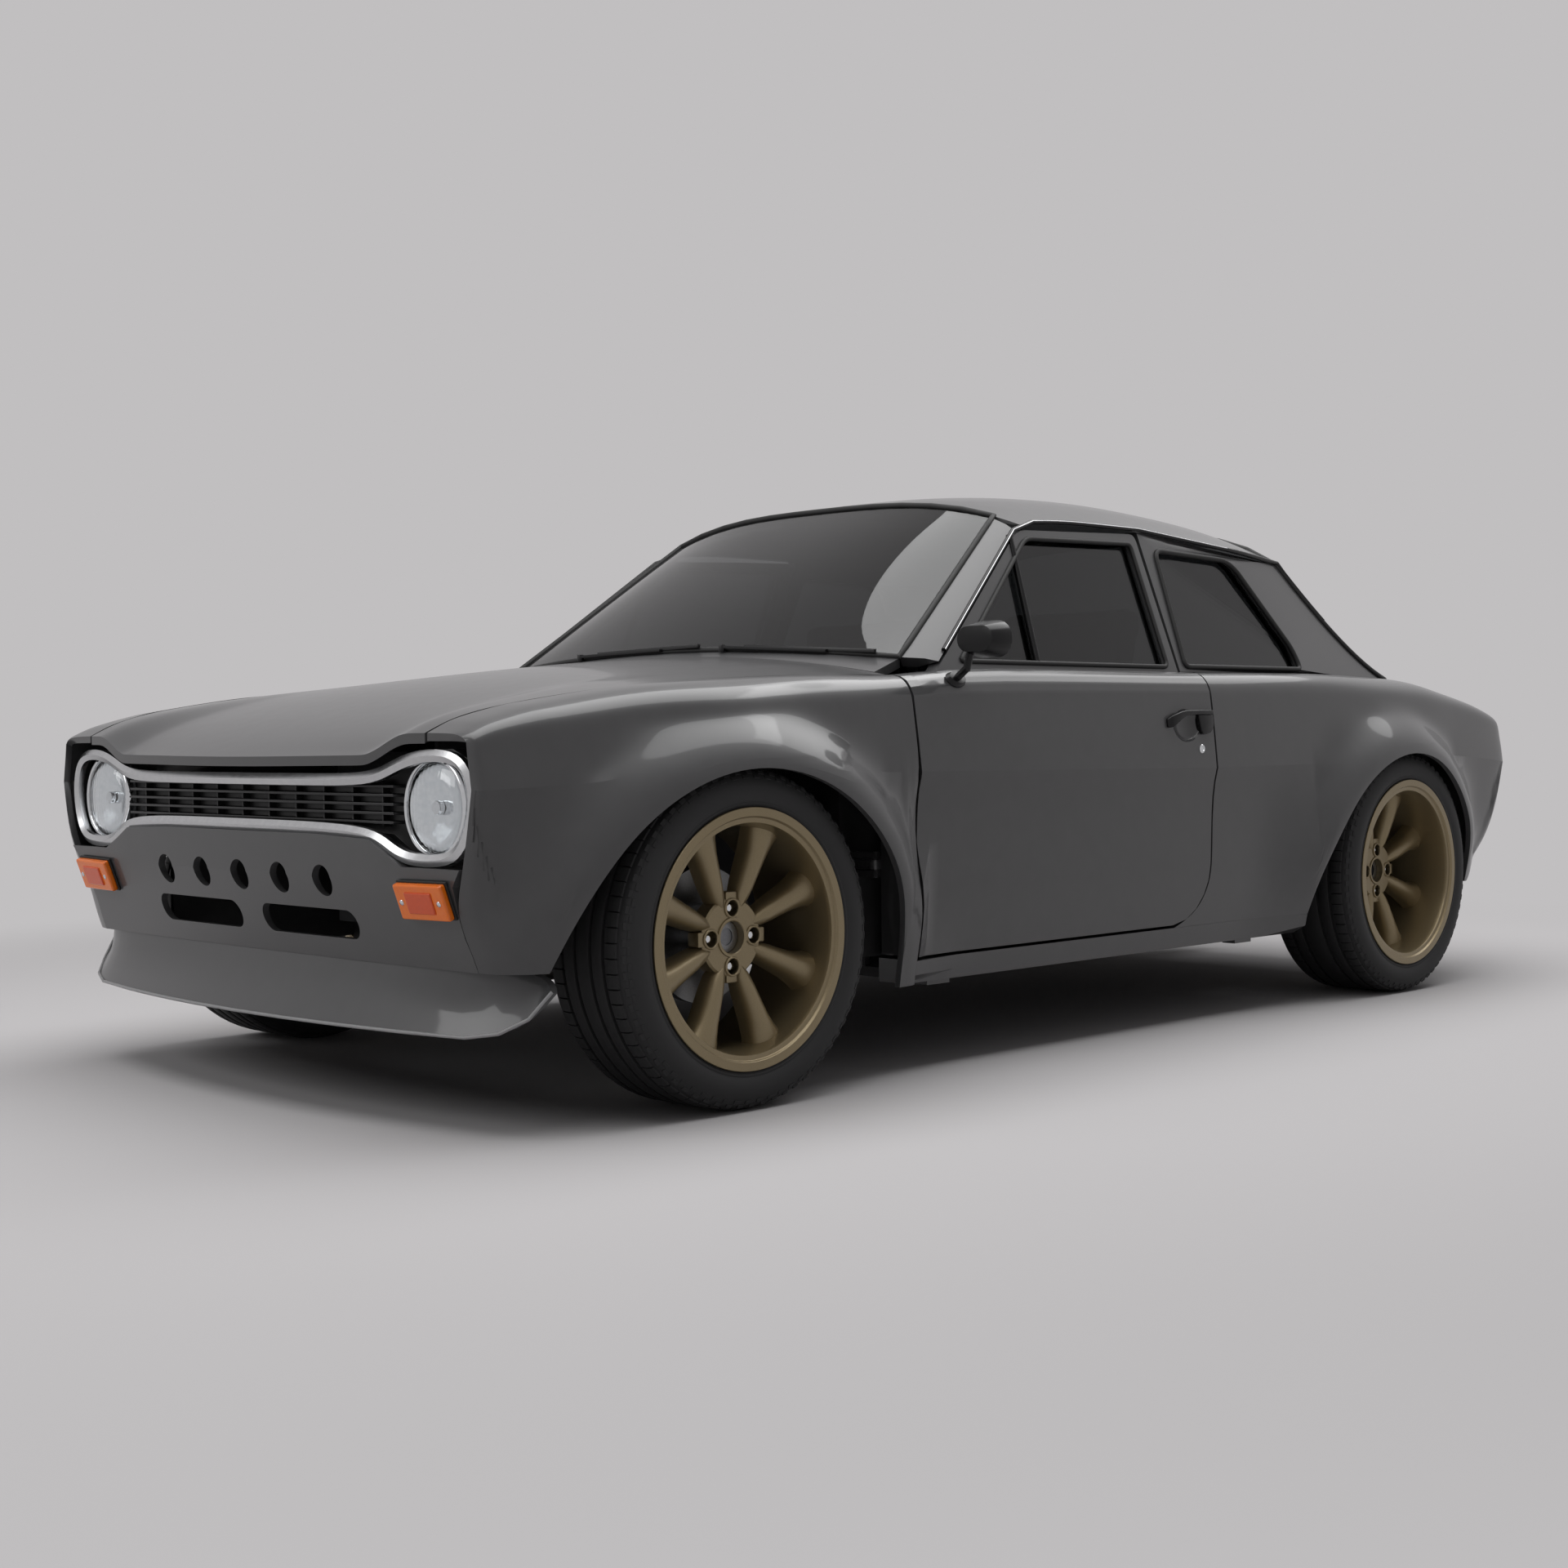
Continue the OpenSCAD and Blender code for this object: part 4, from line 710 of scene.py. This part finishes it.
def wheel_rim(width, dish):
    """A wheel in its own frame, axis along Z and outer lip at zero; returns rim and nuts."""
    barrel = wheel_barrel(width, dish)
    hub = lathe([(0.030, -0.036), (0.074, -0.036), (0.074, -0.004), (0.070, 0.0), (0.0375, 0.0),
                 (0.0365, 0.0025), (0.0315, 0.0025), (0.030, 0.001), (0.030, -0.036)])
    cut(hub, ring_of(nut_drill(), NUTS))
    boss = lathe([(NUT_HOLE, -0.010), (0.0190, -0.010), (0.0190, 0.002), (0.0176, 0.0035),
                  (0.0156, 0.0035), (NUT_HOLE, 0.0022), (NUT_HOLE, -0.010)], 32)
    bosses = ring_of(placed(boss, TO_NUT), NUTS)
    spoke = drawn_out([spoke_section(*section) for section in SPOKE])
    spokes = ring_of(placed(spoke, turned(SPOKE_TURN, "Z")), SPOKES)
    ear = block((0.046, -0.0140, -0.030), (0.0845, 0.0140, -0.0005), 0.003)
    cut(ear, nut_drill())
    to_face = shift(0, 0, -dish)
    centre = placed(joined([hub, bosses, spokes, ring_of(ear, NUTS)]), to_face)
    rim = joined([barrel, centre])
    smooth(rim, 34)
    nut = lathe([(0, -0.021), (0.0098, -0.021), (0.0098, -0.010), (0.0078, -0.0055), (0, -0.0035)], 6)
    eased_edges(nut, 0.0006, 2, 30)
    nuts = ring_of(placed(nut, to_face @ TO_NUT), NUTS)
    smooth(nuts, 30)
    return rim, nuts


# Tyre: the sidewall as (share of its height, depth), one side's ribs, a shoulder block and the checker ring
BEAD = [(RIM - 0.0186, -0.0156), (RIM + 0.001, -0.0104)]
SIDEWALL = [
    (0.08, -0.0050), (0.125, -0.0030), (0.15, -0.0012), (0.175, -0.0012), (0.20, -0.0020),
    (0.26, -0.0004), (0.325, 0.0015), (0.43, 0.0021), (0.525, 0.0020), (0.62, 0.0005),
    (0.70, -0.0020), (0.78, -0.0052), (0.85, -0.0090), (0.91, -0.0150),
]
GROOVE_FLOOR = TYRE - 0.0062
RIB_EDGE = TYRE - 0.0006
RIBS = [
    (GROOVE_FLOOR, -0.0240), (GROOVE_FLOOR, -0.0580), (RIB_EDGE, -0.0584), (TYRE, -0.0595),
    (TYRE, -0.0835), (RIB_EDGE, -0.0846), (GROOVE_FLOOR, -0.0850), (GROOVE_FLOOR, -0.0930),
    (RIB_EDGE, -0.0934), (TYRE, -0.0945),
]
SHOULDER_BLOCK = [
    (TYRE - 0.0080, -0.0215), (TYRE - 0.0035, -0.0232), (TYRE - 0.0008, -0.0310),
    (TYRE - 0.0001, -0.0480), (TYRE - 0.0010, -0.0500), (TYRE - 0.0080, -0.0505),
]
SHOULDER_BLOCKS = 72
BLOCK_HALF = 0.0124
CHECKER_ROWS = ((0.2976, -0.0046), (0.3052, -0.0098))
CHECKER_STUDS = 66
CHECKER_LEAN = 31
STUD = (0.0036, 0.0070, 0.0012)


def checker_row(row, radius, z):
    """One row of the checker ring; each row is set off by half a stud's pitch."""
    stud = block([-half for half in STUD], STUD, 0.0004, 1)
    offset = Matrix.Rotation(math.tau / CHECKER_STUDS * 0.5 * row, 4, "Z")
    return ring_of(placed(stud, offset @ shift(radius, 0, z) @ turned(CHECKER_LEAN, "Y")), CHECKER_STUDS)


def wheel_tyre(width):
    """A tyre in the wheel's frame: sidewalls, ribs and grooves turned, blocks and checker ring set round."""
    wide = width - WIDTH_SPARE
    side = BEAD + [(RIM + share * (TYRE - RIM), z) for share, z in SIDEWALL] + RIBS
    carcass = lathe(side + [(r, -wide - z) for r, z in reversed(side)] + side[:1], 128)
    lug = drawn_out([[(r, y, z) for r, z in SHOULDER_BLOCK] for y in (-BLOCK_HALF, BLOCK_HALF)])
    lugs = ring_of(lug, SHOULDER_BLOCKS)
    far_lugs = copy_of(lugs, shift(0, 0, -wide) @ Matrix.Diagonal((1, 1, -1, 1)))
    rows = [checker_row(row, radius, z) for row, (radius, z) in enumerate(CHECKER_ROWS)]
    tyre = joined([carcass, lugs, far_lugs] + rows)
    smooth(tyre, 34)
    return tyre


for axle, (x, lip_y, dish, width) in AXLES.items():
    rim, nuts = wheel_rim(width, dish)
    tyre = wheel_tyre(width)
    for hand, side in HANDS.items():
        stand = shift(x, side * lip_y, HUB_HEIGHT) @ turned(-90 * side, "X")
        place = axle + "_" + hand
        body = "wheel_" + place
        done(copy_of(rim, stand), "wheel_rim_" + place, body, bronze, ["rim_" + place])
        done(copy_of(nuts, stand), "wheel_nuts_" + place, body, chrome)
        done(copy_of(tyre, stand), "tyre_with_tread_" + place, body,
             tyre_rubber, ["tyre_" + place])
    for spare in (rim, nuts, tyre):
        bpy.data.objects.remove(spare)

# Bent glass, and the seals, rails and frames of the windows
PANE_SEAL = 0.0075
QUARTER_SEAL = 0.0065
DOOR_SEAL = 0.0055
DIVIDER_BAR = 0.0075
DIVIDER_INSET = 0.002
DRIP_RAIL = 0.0055
RAIL_TRIM = 0.0013
RAIL_TRIM_POINTS = 27
# Corners of the side windows' seals as (along, height, radius)
QUARTER_CORNERS = [
    (REAR_AXLE + 0.876, BELT + 0.014, 0.016),
    (REAR_AXLE + 0.848, 1.124, 0.026),
    (REAR_AXLE + 0.535, 1.114, 0.040),
    (REAR_AXLE + 0.342, BELT + 0.064, 0.030),
    (REAR_AXLE + 0.334, BELT + 0.016, 0.018),
]
DOOR_CORNERS = [
    (FRONT_AXLE - 0.705, BELT + 0.012, 0.012),
    (REAR_AXLE + 1.342, 1.124, 0.024),
    (REAR_AXLE + 0.940, 1.134, 0.016),
    (REAR_AXLE + 0.948, BELT + 0.012, 0.016),
]
# Quarter light bar and screen pillar as (along, height), and the heights between which the rail follows it
DIVIDER = ((0.328, BELT + 0.010), (0.317, 0.916), (0.292, 1.097), (0.288, 1.128))
PILLAR_FOOT = (FRONT_AXLE - 0.612, BELT - 0.016)
PILLAR_TOP = (REAR_AXLE + 1.360, 1.142)
RAIL_FOOT = 0.862
RAIL_BEND = 1.140
RAIL_AHEAD = 0.0155

for node in ("windscreen", "rear_window"):
    done(pressed_panel(node, 1, 60), node + "_bent_glass", "body", tinted_glass, [node])
done(cord_of(round_the(screen_point), PANE_SEAL, True), "windscreen_seal", "body", seal_rubber)
done(cord_of(round_the(rear_point), PANE_SEAL, True), "rear_window_seal", "body", seal_rubber)
both_sides(cord_of(rounded(QUARTER_CORNERS), QUARTER_SEAL, True), "quarter_glass_seal", ON_BODY, seal_rubber)
both_sides(cord_of(rounded(DOOR_CORNERS), DOOR_SEAL, True), "door_glass_seal", ON_DOORS, seal_rubber)
divider = [Vector((x, lean_y(x, z) - DIVIDER_INSET, z)) for x, z in DIVIDER]
both_sides(cord_of(divider, DIVIDER_BAR), "quarter_light_bar", ON_DOORS, gloss_black)


def pillar_point(share):
    """A point of the drip rail on the screen pillar, upwards."""
    z = mix(RAIL_FOOT, RAIL_BEND, share)
    (foot_x, foot_z), (top_x, top_z) = PILLAR_FOOT, PILLAR_TOP
    x = mix(foot_x, top_x, (z - foot_z) / (top_z - foot_z)) + RAIL_AHEAD
    return Vector((x, lean_y(x, z) + SEAL_PROUD, z))


rail = [pillar_point(k / 8) for k in range(9)]
rail += [roof_side(k / 24) + Vector((0, 0.003, 0.004)) for k in range(1, 25)]
rail += [rear_side(k / 20) + Vector((0, 0.002, 0.003)) for k in range(1, 8)]
both_sides(cord_of(rail, DRIP_RAIL), "drip_rail", ON_BODY, gloss_black)
rail_trim = [point + Vector((0, 0.0045, 0.0020)) for point in rail[:RAIL_TRIM_POINTS]]
both_sides(cord_of(rail_trim, RAIL_TRIM), "drip_rail_trim", ON_BODY, bright_trim)

# Door handles: a strap over a scooped cup, with a finger plate at its rear end and a key lock below
TO_HANDLE = shift(-0.150, 0.7748, 0.707) @ turned(6.5, "X")
TO_LOCK = shift(-0.193, 0.7800, 0.648) @ turned(-90, "X")
SCOOP_MIDDLE = (-0.138, 0.7800, 0.705)
SCOOP_HALVES = Matrix.Diagonal((0.054, 0.020, 0.041, 1))
# Each section of the strap: along, inside, outside, foot and head
STRAP = [
    (0.089, -0.006, 0.004, -0.008, 0.010),
    (0.080, 0.000, 0.012, -0.010, 0.016),
    (0.065, 0.006, 0.015, -0.002, 0.021),
    (0.045, 0.008, 0.016, 0.009, 0.026),
    (0.025, 0.008, 0.016, 0.017, 0.029),
    (-0.030, 0.008, 0.016, 0.020, 0.030),
    (-0.084, 0.006, 0.014, 0.020, 0.030),
    (-0.090, 0.003, 0.010, 0.021, 0.029),
]
FINGER_PLATE = [
    (-0.030, 0.022), (-0.089, 0.022), (-0.090, -0.002), (-0.084, -0.015),
    (-0.072, -0.023), (-0.055, -0.026), (-0.042, -0.025), (-0.036, -0.017),
]
strap = drawn_out([[(x, inside, foot), (x, outside, foot), (x, outside, head), (x, inside, head)]
                   for x, inside, outside, foot, head in STRAP])
finger = drawn_out([[(x, y, z) for x, z in FINGER_PLATE] for y in (-0.006, 0.009)])
for part in (strap, finger):
    eased_edges(part, 0.0022, 3, 30)
handle = joined([strap, finger])
smooth(handle, 40)
both_sides(placed(handle, TO_HANDLE), "door_handle", ON_DOORS, gloss_black)
for hand, side in HANDS.items():
    ball = fresh(bpy.ops.mesh.primitive_uv_sphere_add, segments=48, ring_count=24, radius=1)
    x, y, z = SCOOP_MIDDLE
    placed(ball, shift(x, side * y, z) @ SCOOP_HALVES)
    door = bpy.data.objects["door_" + hand + "_pressing"]
    cut(door, ball)
    smooth(door, 30)
lock = lathe([(0, -0.006), (0.0105, -0.006), (0.0105, 0.0022), (0.0092, 0.0034), (0.0062, 0.0034),
              (0.0056, 0.0022), (0.0018, 0.0022), (0, 0.0022)], 32)
smooth(lock, 30)
both_sides(placed(lock, TO_LOCK), "door_lock", ON_DOORS, chrome)

# Headlamps: bright ring, silvered bowl with a bulb cap, fluted glass and an adjuster
TO_LAMP = shift(FRONT_AXLE + 0.5224, 0.582, 0.568) @ turned(90, "Y")
ring = lathe([(0.0800, 0.0090), (0.0915, 0.0010), (0.0925, 0.0030), (0.0925, 0.0120), (0.0915, 0.0170),
              (0.0885, 0.0208), (0.0850, 0.0218), (0.0820, 0.0208), (0.0803, 0.0180), (0.0800, 0.0090)])
bowl = lathe([(0, 0.0010), (0.0815, 0.0010), (0.0815, 0.0150), (0.0780, 0.0150), (0.0600, 0.0092),
              (0.0350, 0.0048), (0, 0.0030)])
bulb_cap = lathe([(0, 0.0025), (0.0125, 0.0045), (0.0125, 0.0130), (0.0115, 0.0150), (0, 0.0158)], 48)
glass = lathe([(0.0808, 0.0155), (0.0808, 0.0185), (0.0760, 0.0215), (0.0600, 0.0275), (0.0400, 0.0318),
               (0.0200, 0.0340), (0, 0.0347), (0, 0.0322), (0.0200, 0.0316), (0.0400, 0.0293),
               (0.0600, 0.0250), (0.0760, 0.0190), (0.0780, 0.0160), (0.0808, 0.0155)])
adjuster = lathe([(0, 0.0195), (0.0038, 0.0195), (0.0038, 0.0226), (0.0030, 0.0234), (0, 0.0234)], 24)
placed(adjuster, turned(155, "Z") @ shift(0.0866, 0, 0))
for part, name, material, slot, nodes in (
    (ring, "headlamp_ring", chrome, None, ()),
    (bowl, "headlamp_bowl", lamp_silver, None, ()),
    (bulb_cap, "headlamp_bulb_cap", chrome, None, ()),
    (adjuster, "headlamp_adjuster", black_plastic, None, ()),
    (glass, "headlamp_glass", lamp_glass, "lamp_glass", ("headlamps",)),
):
    smooth(part, 36)
    both_sides(placed(part, TO_LAMP), name, ON_BODY, material, nodes)

# Indicators: amber lens with a raised darker panel and two screws, on a black gasket
TO_LENS = shift(FRONT_AXLE + 0.5585, 0.582, 0.411) @ turned(20, "Y") @ turned(2.4, "Z")
SCREW_PLACES = (-0.051, 0.051)
for name, back, front, half_wide, half_high, soft, steps, material, slot, nodes in (
    ("indicator_gasket", -0.0005, 0.0040, 0.0685, 0.0355, 0.0015, 2, seal_rubber, None, ()),
    ("indicator_lens", 0.0030, 0.0165, 0.0660, 0.0330, 0.0040, 3, amber, "amber_lens", ("indicators",)),
    ("indicator_panel", 0.0140, 0.0195, 0.0360, 0.0200, 0.0025, 3, deep_amber, None, ()),
):
    layer = block((back, -half_wide, -half_high), (front, half_wide, half_high), soft, steps)
    both_sides(placed(layer, TO_LENS), name, ON_BODY, material, nodes)
screw = lathe([(0, 0.0130), (0.0052, 0.0150), (0.0052, 0.0172), (0.0040, 0.0184), (0, 0.0190)], 24)
smooth(screw, 40)
screws = joined([copy_of(screw, shift(0, y, 0) @ turned(90, "Y")) for y in SCREW_PLACES])
bpy.data.objects.remove(screw)
both_sides(placed(screws, TO_LENS), "indicator_screws", ON_BODY, chrome)

# Grille, wipers and tail lamps
surround = pressed_panel("grille_surround", 2, 52)
done(surround, "grille_surround_pressing", "body", bright_trim, ["grille_surround"])
for node, name, width, segments, material, slot in (
    ("grille", "grille_bars", 0.0012, 2, black_plastic, "black_plastic"),
    ("wipers", "wiper_arms", 0.0016, 2, black_plastic, "black_plastic"),
    ("tail_lamps", "tail_lamp_lenses", 0.004, 3, red_acrylic, "red_lens"),
):
    done(softened(node, width, segments), name, "body", material, [node])

# Pale strip along the lip of the spoiler, a painted highlight: its left half as (ahead of the axle, across,
# height)
SPOILER_LIP = [
    (0.592, 0, 0.171), (0.588, 0.160, 0.171), (0.576, 0.320, 0.171), (0.556, 0.480, 0.171),
    (0.529, 0.640, 0.172), (0.505, 0.705, 0.182), (0.472, 0.745, 0.207), (0.436, 0.764, 0.252),
]
LIP_INSET = Vector((-0.002, 0, 0.003))
left_lip = [Vector((FRONT_AXLE + x, y, z)) + LIP_INSET for x, y, z in SPOILER_LIP]
right_lip = [FLIP @ point for point in reversed(left_lip[1:])]
# The pale cord along the lip is a painted highlight
done(cord_of(right_lip + left_lip, 0.0032), "spoiler_lip_painted_highlight", "body", painted_lip_highlight)

# Boot sill: a turned-up lip along the rear panel with its rubber seal
SILL_MIDDLE = (-1.866, 0.666)
SILL_SWEEP = (0.011, 0.013)
SILL_SWEEP_AT = 0.465
SILL_HALF = 0.575
SILL_FOOT = 0.628
SILL_HALF_THICK = 0.005
SILL_TOP_BELOW = 0.010
SEAL_BELOW = 0.0075
BOOT_SEAL = 0.0065


def sill_point(y, below):
    """A point so far below the boot lid's lower edge, which curves across the car."""
    share = (y / SILL_SWEEP_AT) ** 2
    x, z = SILL_MIDDLE
    ahead, drop = SILL_SWEEP
    return Vector((x + ahead * share, y, z - drop * share - below))


def sill_section(y):
    """The lip's section at a place across the car."""
    x = sill_point(y, 0).x
    top = sill_point(y, SILL_TOP_BELOW).z
    rear, front = x - SILL_HALF_THICK, x + SILL_HALF_THICK
    return [(rear, y, SILL_FOOT), (front, y, SILL_FOOT), (front, y, top), (rear, y, top)]


across = [SILL_HALF * (k / 8 - 1) for k in range(17)]
sill_lip = drawn_out([sill_section(y) for y in across])
smooth(sill_lip, 30)
done(sill_lip, "boot_sill_lip", "body", enamel)
done(cord_of([sill_point(y, SEAL_BELOW) for y in across], BOOT_SEAL), "boot_seal", "body", seal_rubber)

# Exhaust with an open tail pipe
PIPE_WALL = 0.003
PIPE_DEPTH = 0.09
PIPE_END = 0.001
pipe = cad_copy("exhaust")
opened(pipe, "FACE")
bpy.ops.mesh.select_all(action="DESELECT")
work = bmesh.from_edit_mesh(pipe.data)
tip = min(vertex.co.x for vertex in work.verts)
for face in work.faces:
    face.select = face.calc_center_median().x < tip + PIPE_END
bmesh.update_edit_mesh(pipe.data)
bpy.ops.mesh.inset(thickness=PIPE_WALL)
bpy.ops.mesh.extrude_region_move(TRANSFORM_OT_translate={"value": (PIPE_DEPTH, 0, 0)})
shut()
smooth(pipe, 40)
done(pipe, "exhaust_with_open_tip", "body", exhaust_steel, ["exhaust"])

# Door mirror with its glass: two half rounds with a straight run between them
MIRROR_RADIUS = 0.034
MIRROR_HEIGHT = 0.880
MIRROR_INNER = HALF_WIDTH + 0.022
MIRROR_OUTER = HALF_WIDTH + 0.062
MIRROR_POINTS = 32
MIRROR_FACES = (-0.6610, -0.6632)
done(softened("door_mirror", 0.007, 3), "mirror_housing", "door_left",
     gloss_black, ["door_mirror"])
outline = []
for k in range(MIRROR_POINTS):
    angle = math.tau * (k + 0.5) / MIRROR_POINTS
    middle = MIRROR_INNER if math.cos(angle) < 0 else MIRROR_OUTER
    y = middle + MIRROR_RADIUS * math.cos(angle)
    z = MIRROR_HEIGHT + MIRROR_RADIUS * math.sin(angle)
    outline.append((y, z))
pane = drawn_out([[(FRONT_AXLE + x, y, z) for y, z in outline] for x in MIRROR_FACES])
smooth(pane, 30)
done(pane, "mirror_glass", "door_left", chrome)

# Cabin: padded seats, dash, steering wheel and door cards
SEAT_VOXEL = 0.016
SEAT_SWELL = 0.022
SEAT_NARROWING = 0.96
SEAT_PRESSURE = 4
CLOTH_FRAMES = 20
CARD_INSIDE = 0.70
CARD_FACING = 0.8


def stuffed(node, name, seat_middle):
    """A seat blown up from its CAD form by cloth under pressure."""
    piece = softened(node, 0.025, 3)
    for vertex in piece.data.vertices:
        middle = seat_middle * (1 if vertex.co.y > 0 else -1)
        vertex.co.y = middle + (vertex.co.y - middle) * SEAT_NARROWING
    apply(piece, "REMESH", mode="VOXEL", voxel_size=SEAT_VOXEL)
    start = [vertex.co.copy() for vertex in piece.data.vertices]
    alone(piece)
    cloth = piece.modifiers.new("Cloth", "CLOTH")
    cloth.settings.use_pressure = True
    cloth.settings.uniform_pressure_force = SEAT_PRESSURE
    cloth.settings.effector_weights.gravity = 0
    for number in range(1, CLOTH_FRAMES + 1):
        scene.frame_set(number)
    bpy.ops.object.modifier_apply(modifier=cloth.name)
    for vertex, old in zip(piece.data.vertices, start):
        moved = vertex.co - old
        if moved.length > SEAT_SWELL:
            vertex.co = old + moved * (SEAT_SWELL / moved.length)
    scene.frame_set(1)
    subdivided(piece, 1)
    smooth(piece, 60)
    done(piece, name, "body", seat_cloth, [node])


stuffed("front_seats", "front_seat_cushions", 0.345)
stuffed("rear_seat", "rear_seat_cushion", 0.0)
done(softened("dashboard", 0.010, 3), "dash_top_and_column", "body", cabin_vinyl, ["dashboard"])
done(softened("steering_wheel", 0.0025), "steering_wheel_rim_and_spokes", "steering_wheel",
     rim_leather, ["steering_wheel"])
for hand, side in HANDS.items():
    door = bpy.data.objects["door_" + hand + "_pressing"]
    door.data.materials.append(cabin_vinyl)
    for face in door.data.polygons:
        faces_cabin = face.normal.y * side < -CARD_FACING
        if faces_cabin and abs(face.center.y) < CARD_INSIDE and face.center.z < BELT:
            face.material_index = 1

# Stage, light and camera
STUDIO = srgb("#c1bfc0")
FADE_FROM = 2.4
FADE_TO = 4.2
AIR_STRENGTH = 0.35
# Each softbox: name, place, size, power and the point it looks at
SOFTBOXES = [
    ("key_softbox", (0.2, 0.3, 5.4), (9.0, 5.0), 350, (0.2, 0.3, 0.0)),
    ("front_softbox", (6.0, -1.6, 3.4), (3.0, 2.4), 70, (1.2, 0.0, 0.5)),
    ("rear_softbox", (-5.0, 0.5, 5.0), (4.0, 3.0), 80, (-1.2, 0.0, 0.5)),
]
EYE = (4.008, 3.602, 0.691)
EYE_YAW = 44.97
EYE_PITCH = -1.35
EYE_ROLL = -0.46
FOCAL_LENGTH = 48.99
SENSOR = 36


def joint_value(tree, kind, first, second):
    """Two values put together by one operation."""
    return put(tree, "ShaderNodeMath", links={0: first, 1: second}, operation=kind).outputs["Value"]


def looked_at(tree):
    """One for what the camera sees, straight, mirrored or through glass."""
    path = put(tree, "ShaderNodeLightPath").outputs
    either = joint_value(tree, "MAXIMUM", path["Is Camera Ray"], path["Is Glossy Ray"])
    return joint_value(tree, "MAXIMUM", either, path["Is Transmission Ray"])


def studio_floor():
    """A floor lit by the softboxes near the car that fades into the plain backdrop farther out."""
    floor = fresh(bpy.ops.mesh.primitive_plane_add, size=60)
    floor.name = "floor"
    material = bpy.data.materials.new("pale_studio_floor")
    material.use_nodes = True
    tree = material.node_tree
    tree.nodes.clear()
    place = put(tree, "ShaderNodeTexCoord").outputs["Object"]
    reach = put(tree, "ShaderNodeVectorMath", links={0: place}, operation="LENGTH").outputs["Value"]
    fade = put(tree, "ShaderNodeMapRange", {"From Min": FADE_FROM, "From Max": FADE_TO}, {"Value": reach},
               interpolation_type="SMOOTHSTEP").outputs["Result"]
    seen = joint_value(tree, "MULTIPLY", fade, looked_at(tree))
    lit = put(tree, "ShaderNodeBsdfDiffuse", {"Color": STUDIO}).outputs[0]
    plain = put(tree, "ShaderNodeEmission", {"Color": STUDIO, "Strength": 1.0}).outputs[0]
    mixed = put(tree, "ShaderNodeMixShader", links={0: seen, 1: lit, 2: plain}).outputs[0]
    put(tree, "ShaderNodeOutputMaterial", links={"Surface": mixed})
    floor.data.materials.append(material)


def studio_air():
    """A backdrop of one colour, which lights the car less than it shows."""
    world = bpy.data.worlds.new("studio")
    scene.world = world
    world.use_nodes = True
    tree = world.node_tree
    tree.nodes.clear()
    air = put(tree, "ShaderNodeBackground", {"Color": STUDIO, "Strength": AIR_STRENGTH}).outputs[0]
    back = put(tree, "ShaderNodeBackground", {"Color": STUDIO, "Strength": 1.0}).outputs[0]
    mixed = put(tree, "ShaderNodeMixShader", links={0: looked_at(tree), 1: air, 2: back}).outputs[0]
    put(tree, "ShaderNodeOutputWorld", links={"Surface": mixed})


def softbox(name, place, size, power, aim):
    """One rectangular lamp turned to the point it looks at."""
    lamp = bpy.data.lights.new(name, "AREA")
    lamp.shape = "RECTANGLE"
    lamp.size, lamp.size_y = size
    lamp.energy = power
    holder = bpy.data.objects.new(name, lamp)
    holder.location = place
    holder.rotation_euler = (Vector(aim) - Vector(place)).to_track_quat("-Z", "Y").to_euler()
    scene.collection.objects.link(holder)


def camera():
    """The photograph's viewpoint: low three-quarter front, found from the axles, wheels and lamps."""
    yaw, pitch, roll = (math.radians(angle) for angle in (EYE_YAW, EYE_PITCH, EYE_ROLL))
    ahead = Vector((-math.cos(yaw) * math.cos(pitch), -math.sin(yaw) * math.cos(pitch), math.sin(pitch)))
    right = ahead.cross(Vector((0, 0, 1))).normalized()
    up = right.cross(ahead)
    side = math.cos(roll) * right + math.sin(roll) * up
    top = -math.sin(roll) * right + math.cos(roll) * up
    lens = bpy.data.cameras.new("camera")
    lens.sensor_width = SENSOR
    lens.lens = FOCAL_LENGTH
    eye = bpy.data.objects.new("camera", lens)
    eye.matrix_world = Matrix.Translation(EYE) @ Matrix((side, top, -ahead)).transposed().to_4x4()
    scene.collection.objects.link(eye)
    scene.camera = eye


studio_floor()
studio_air()
for box in SOFTBOXES:
    softbox(*box)
camera()
scene.view_settings.view_transform = "Standard"
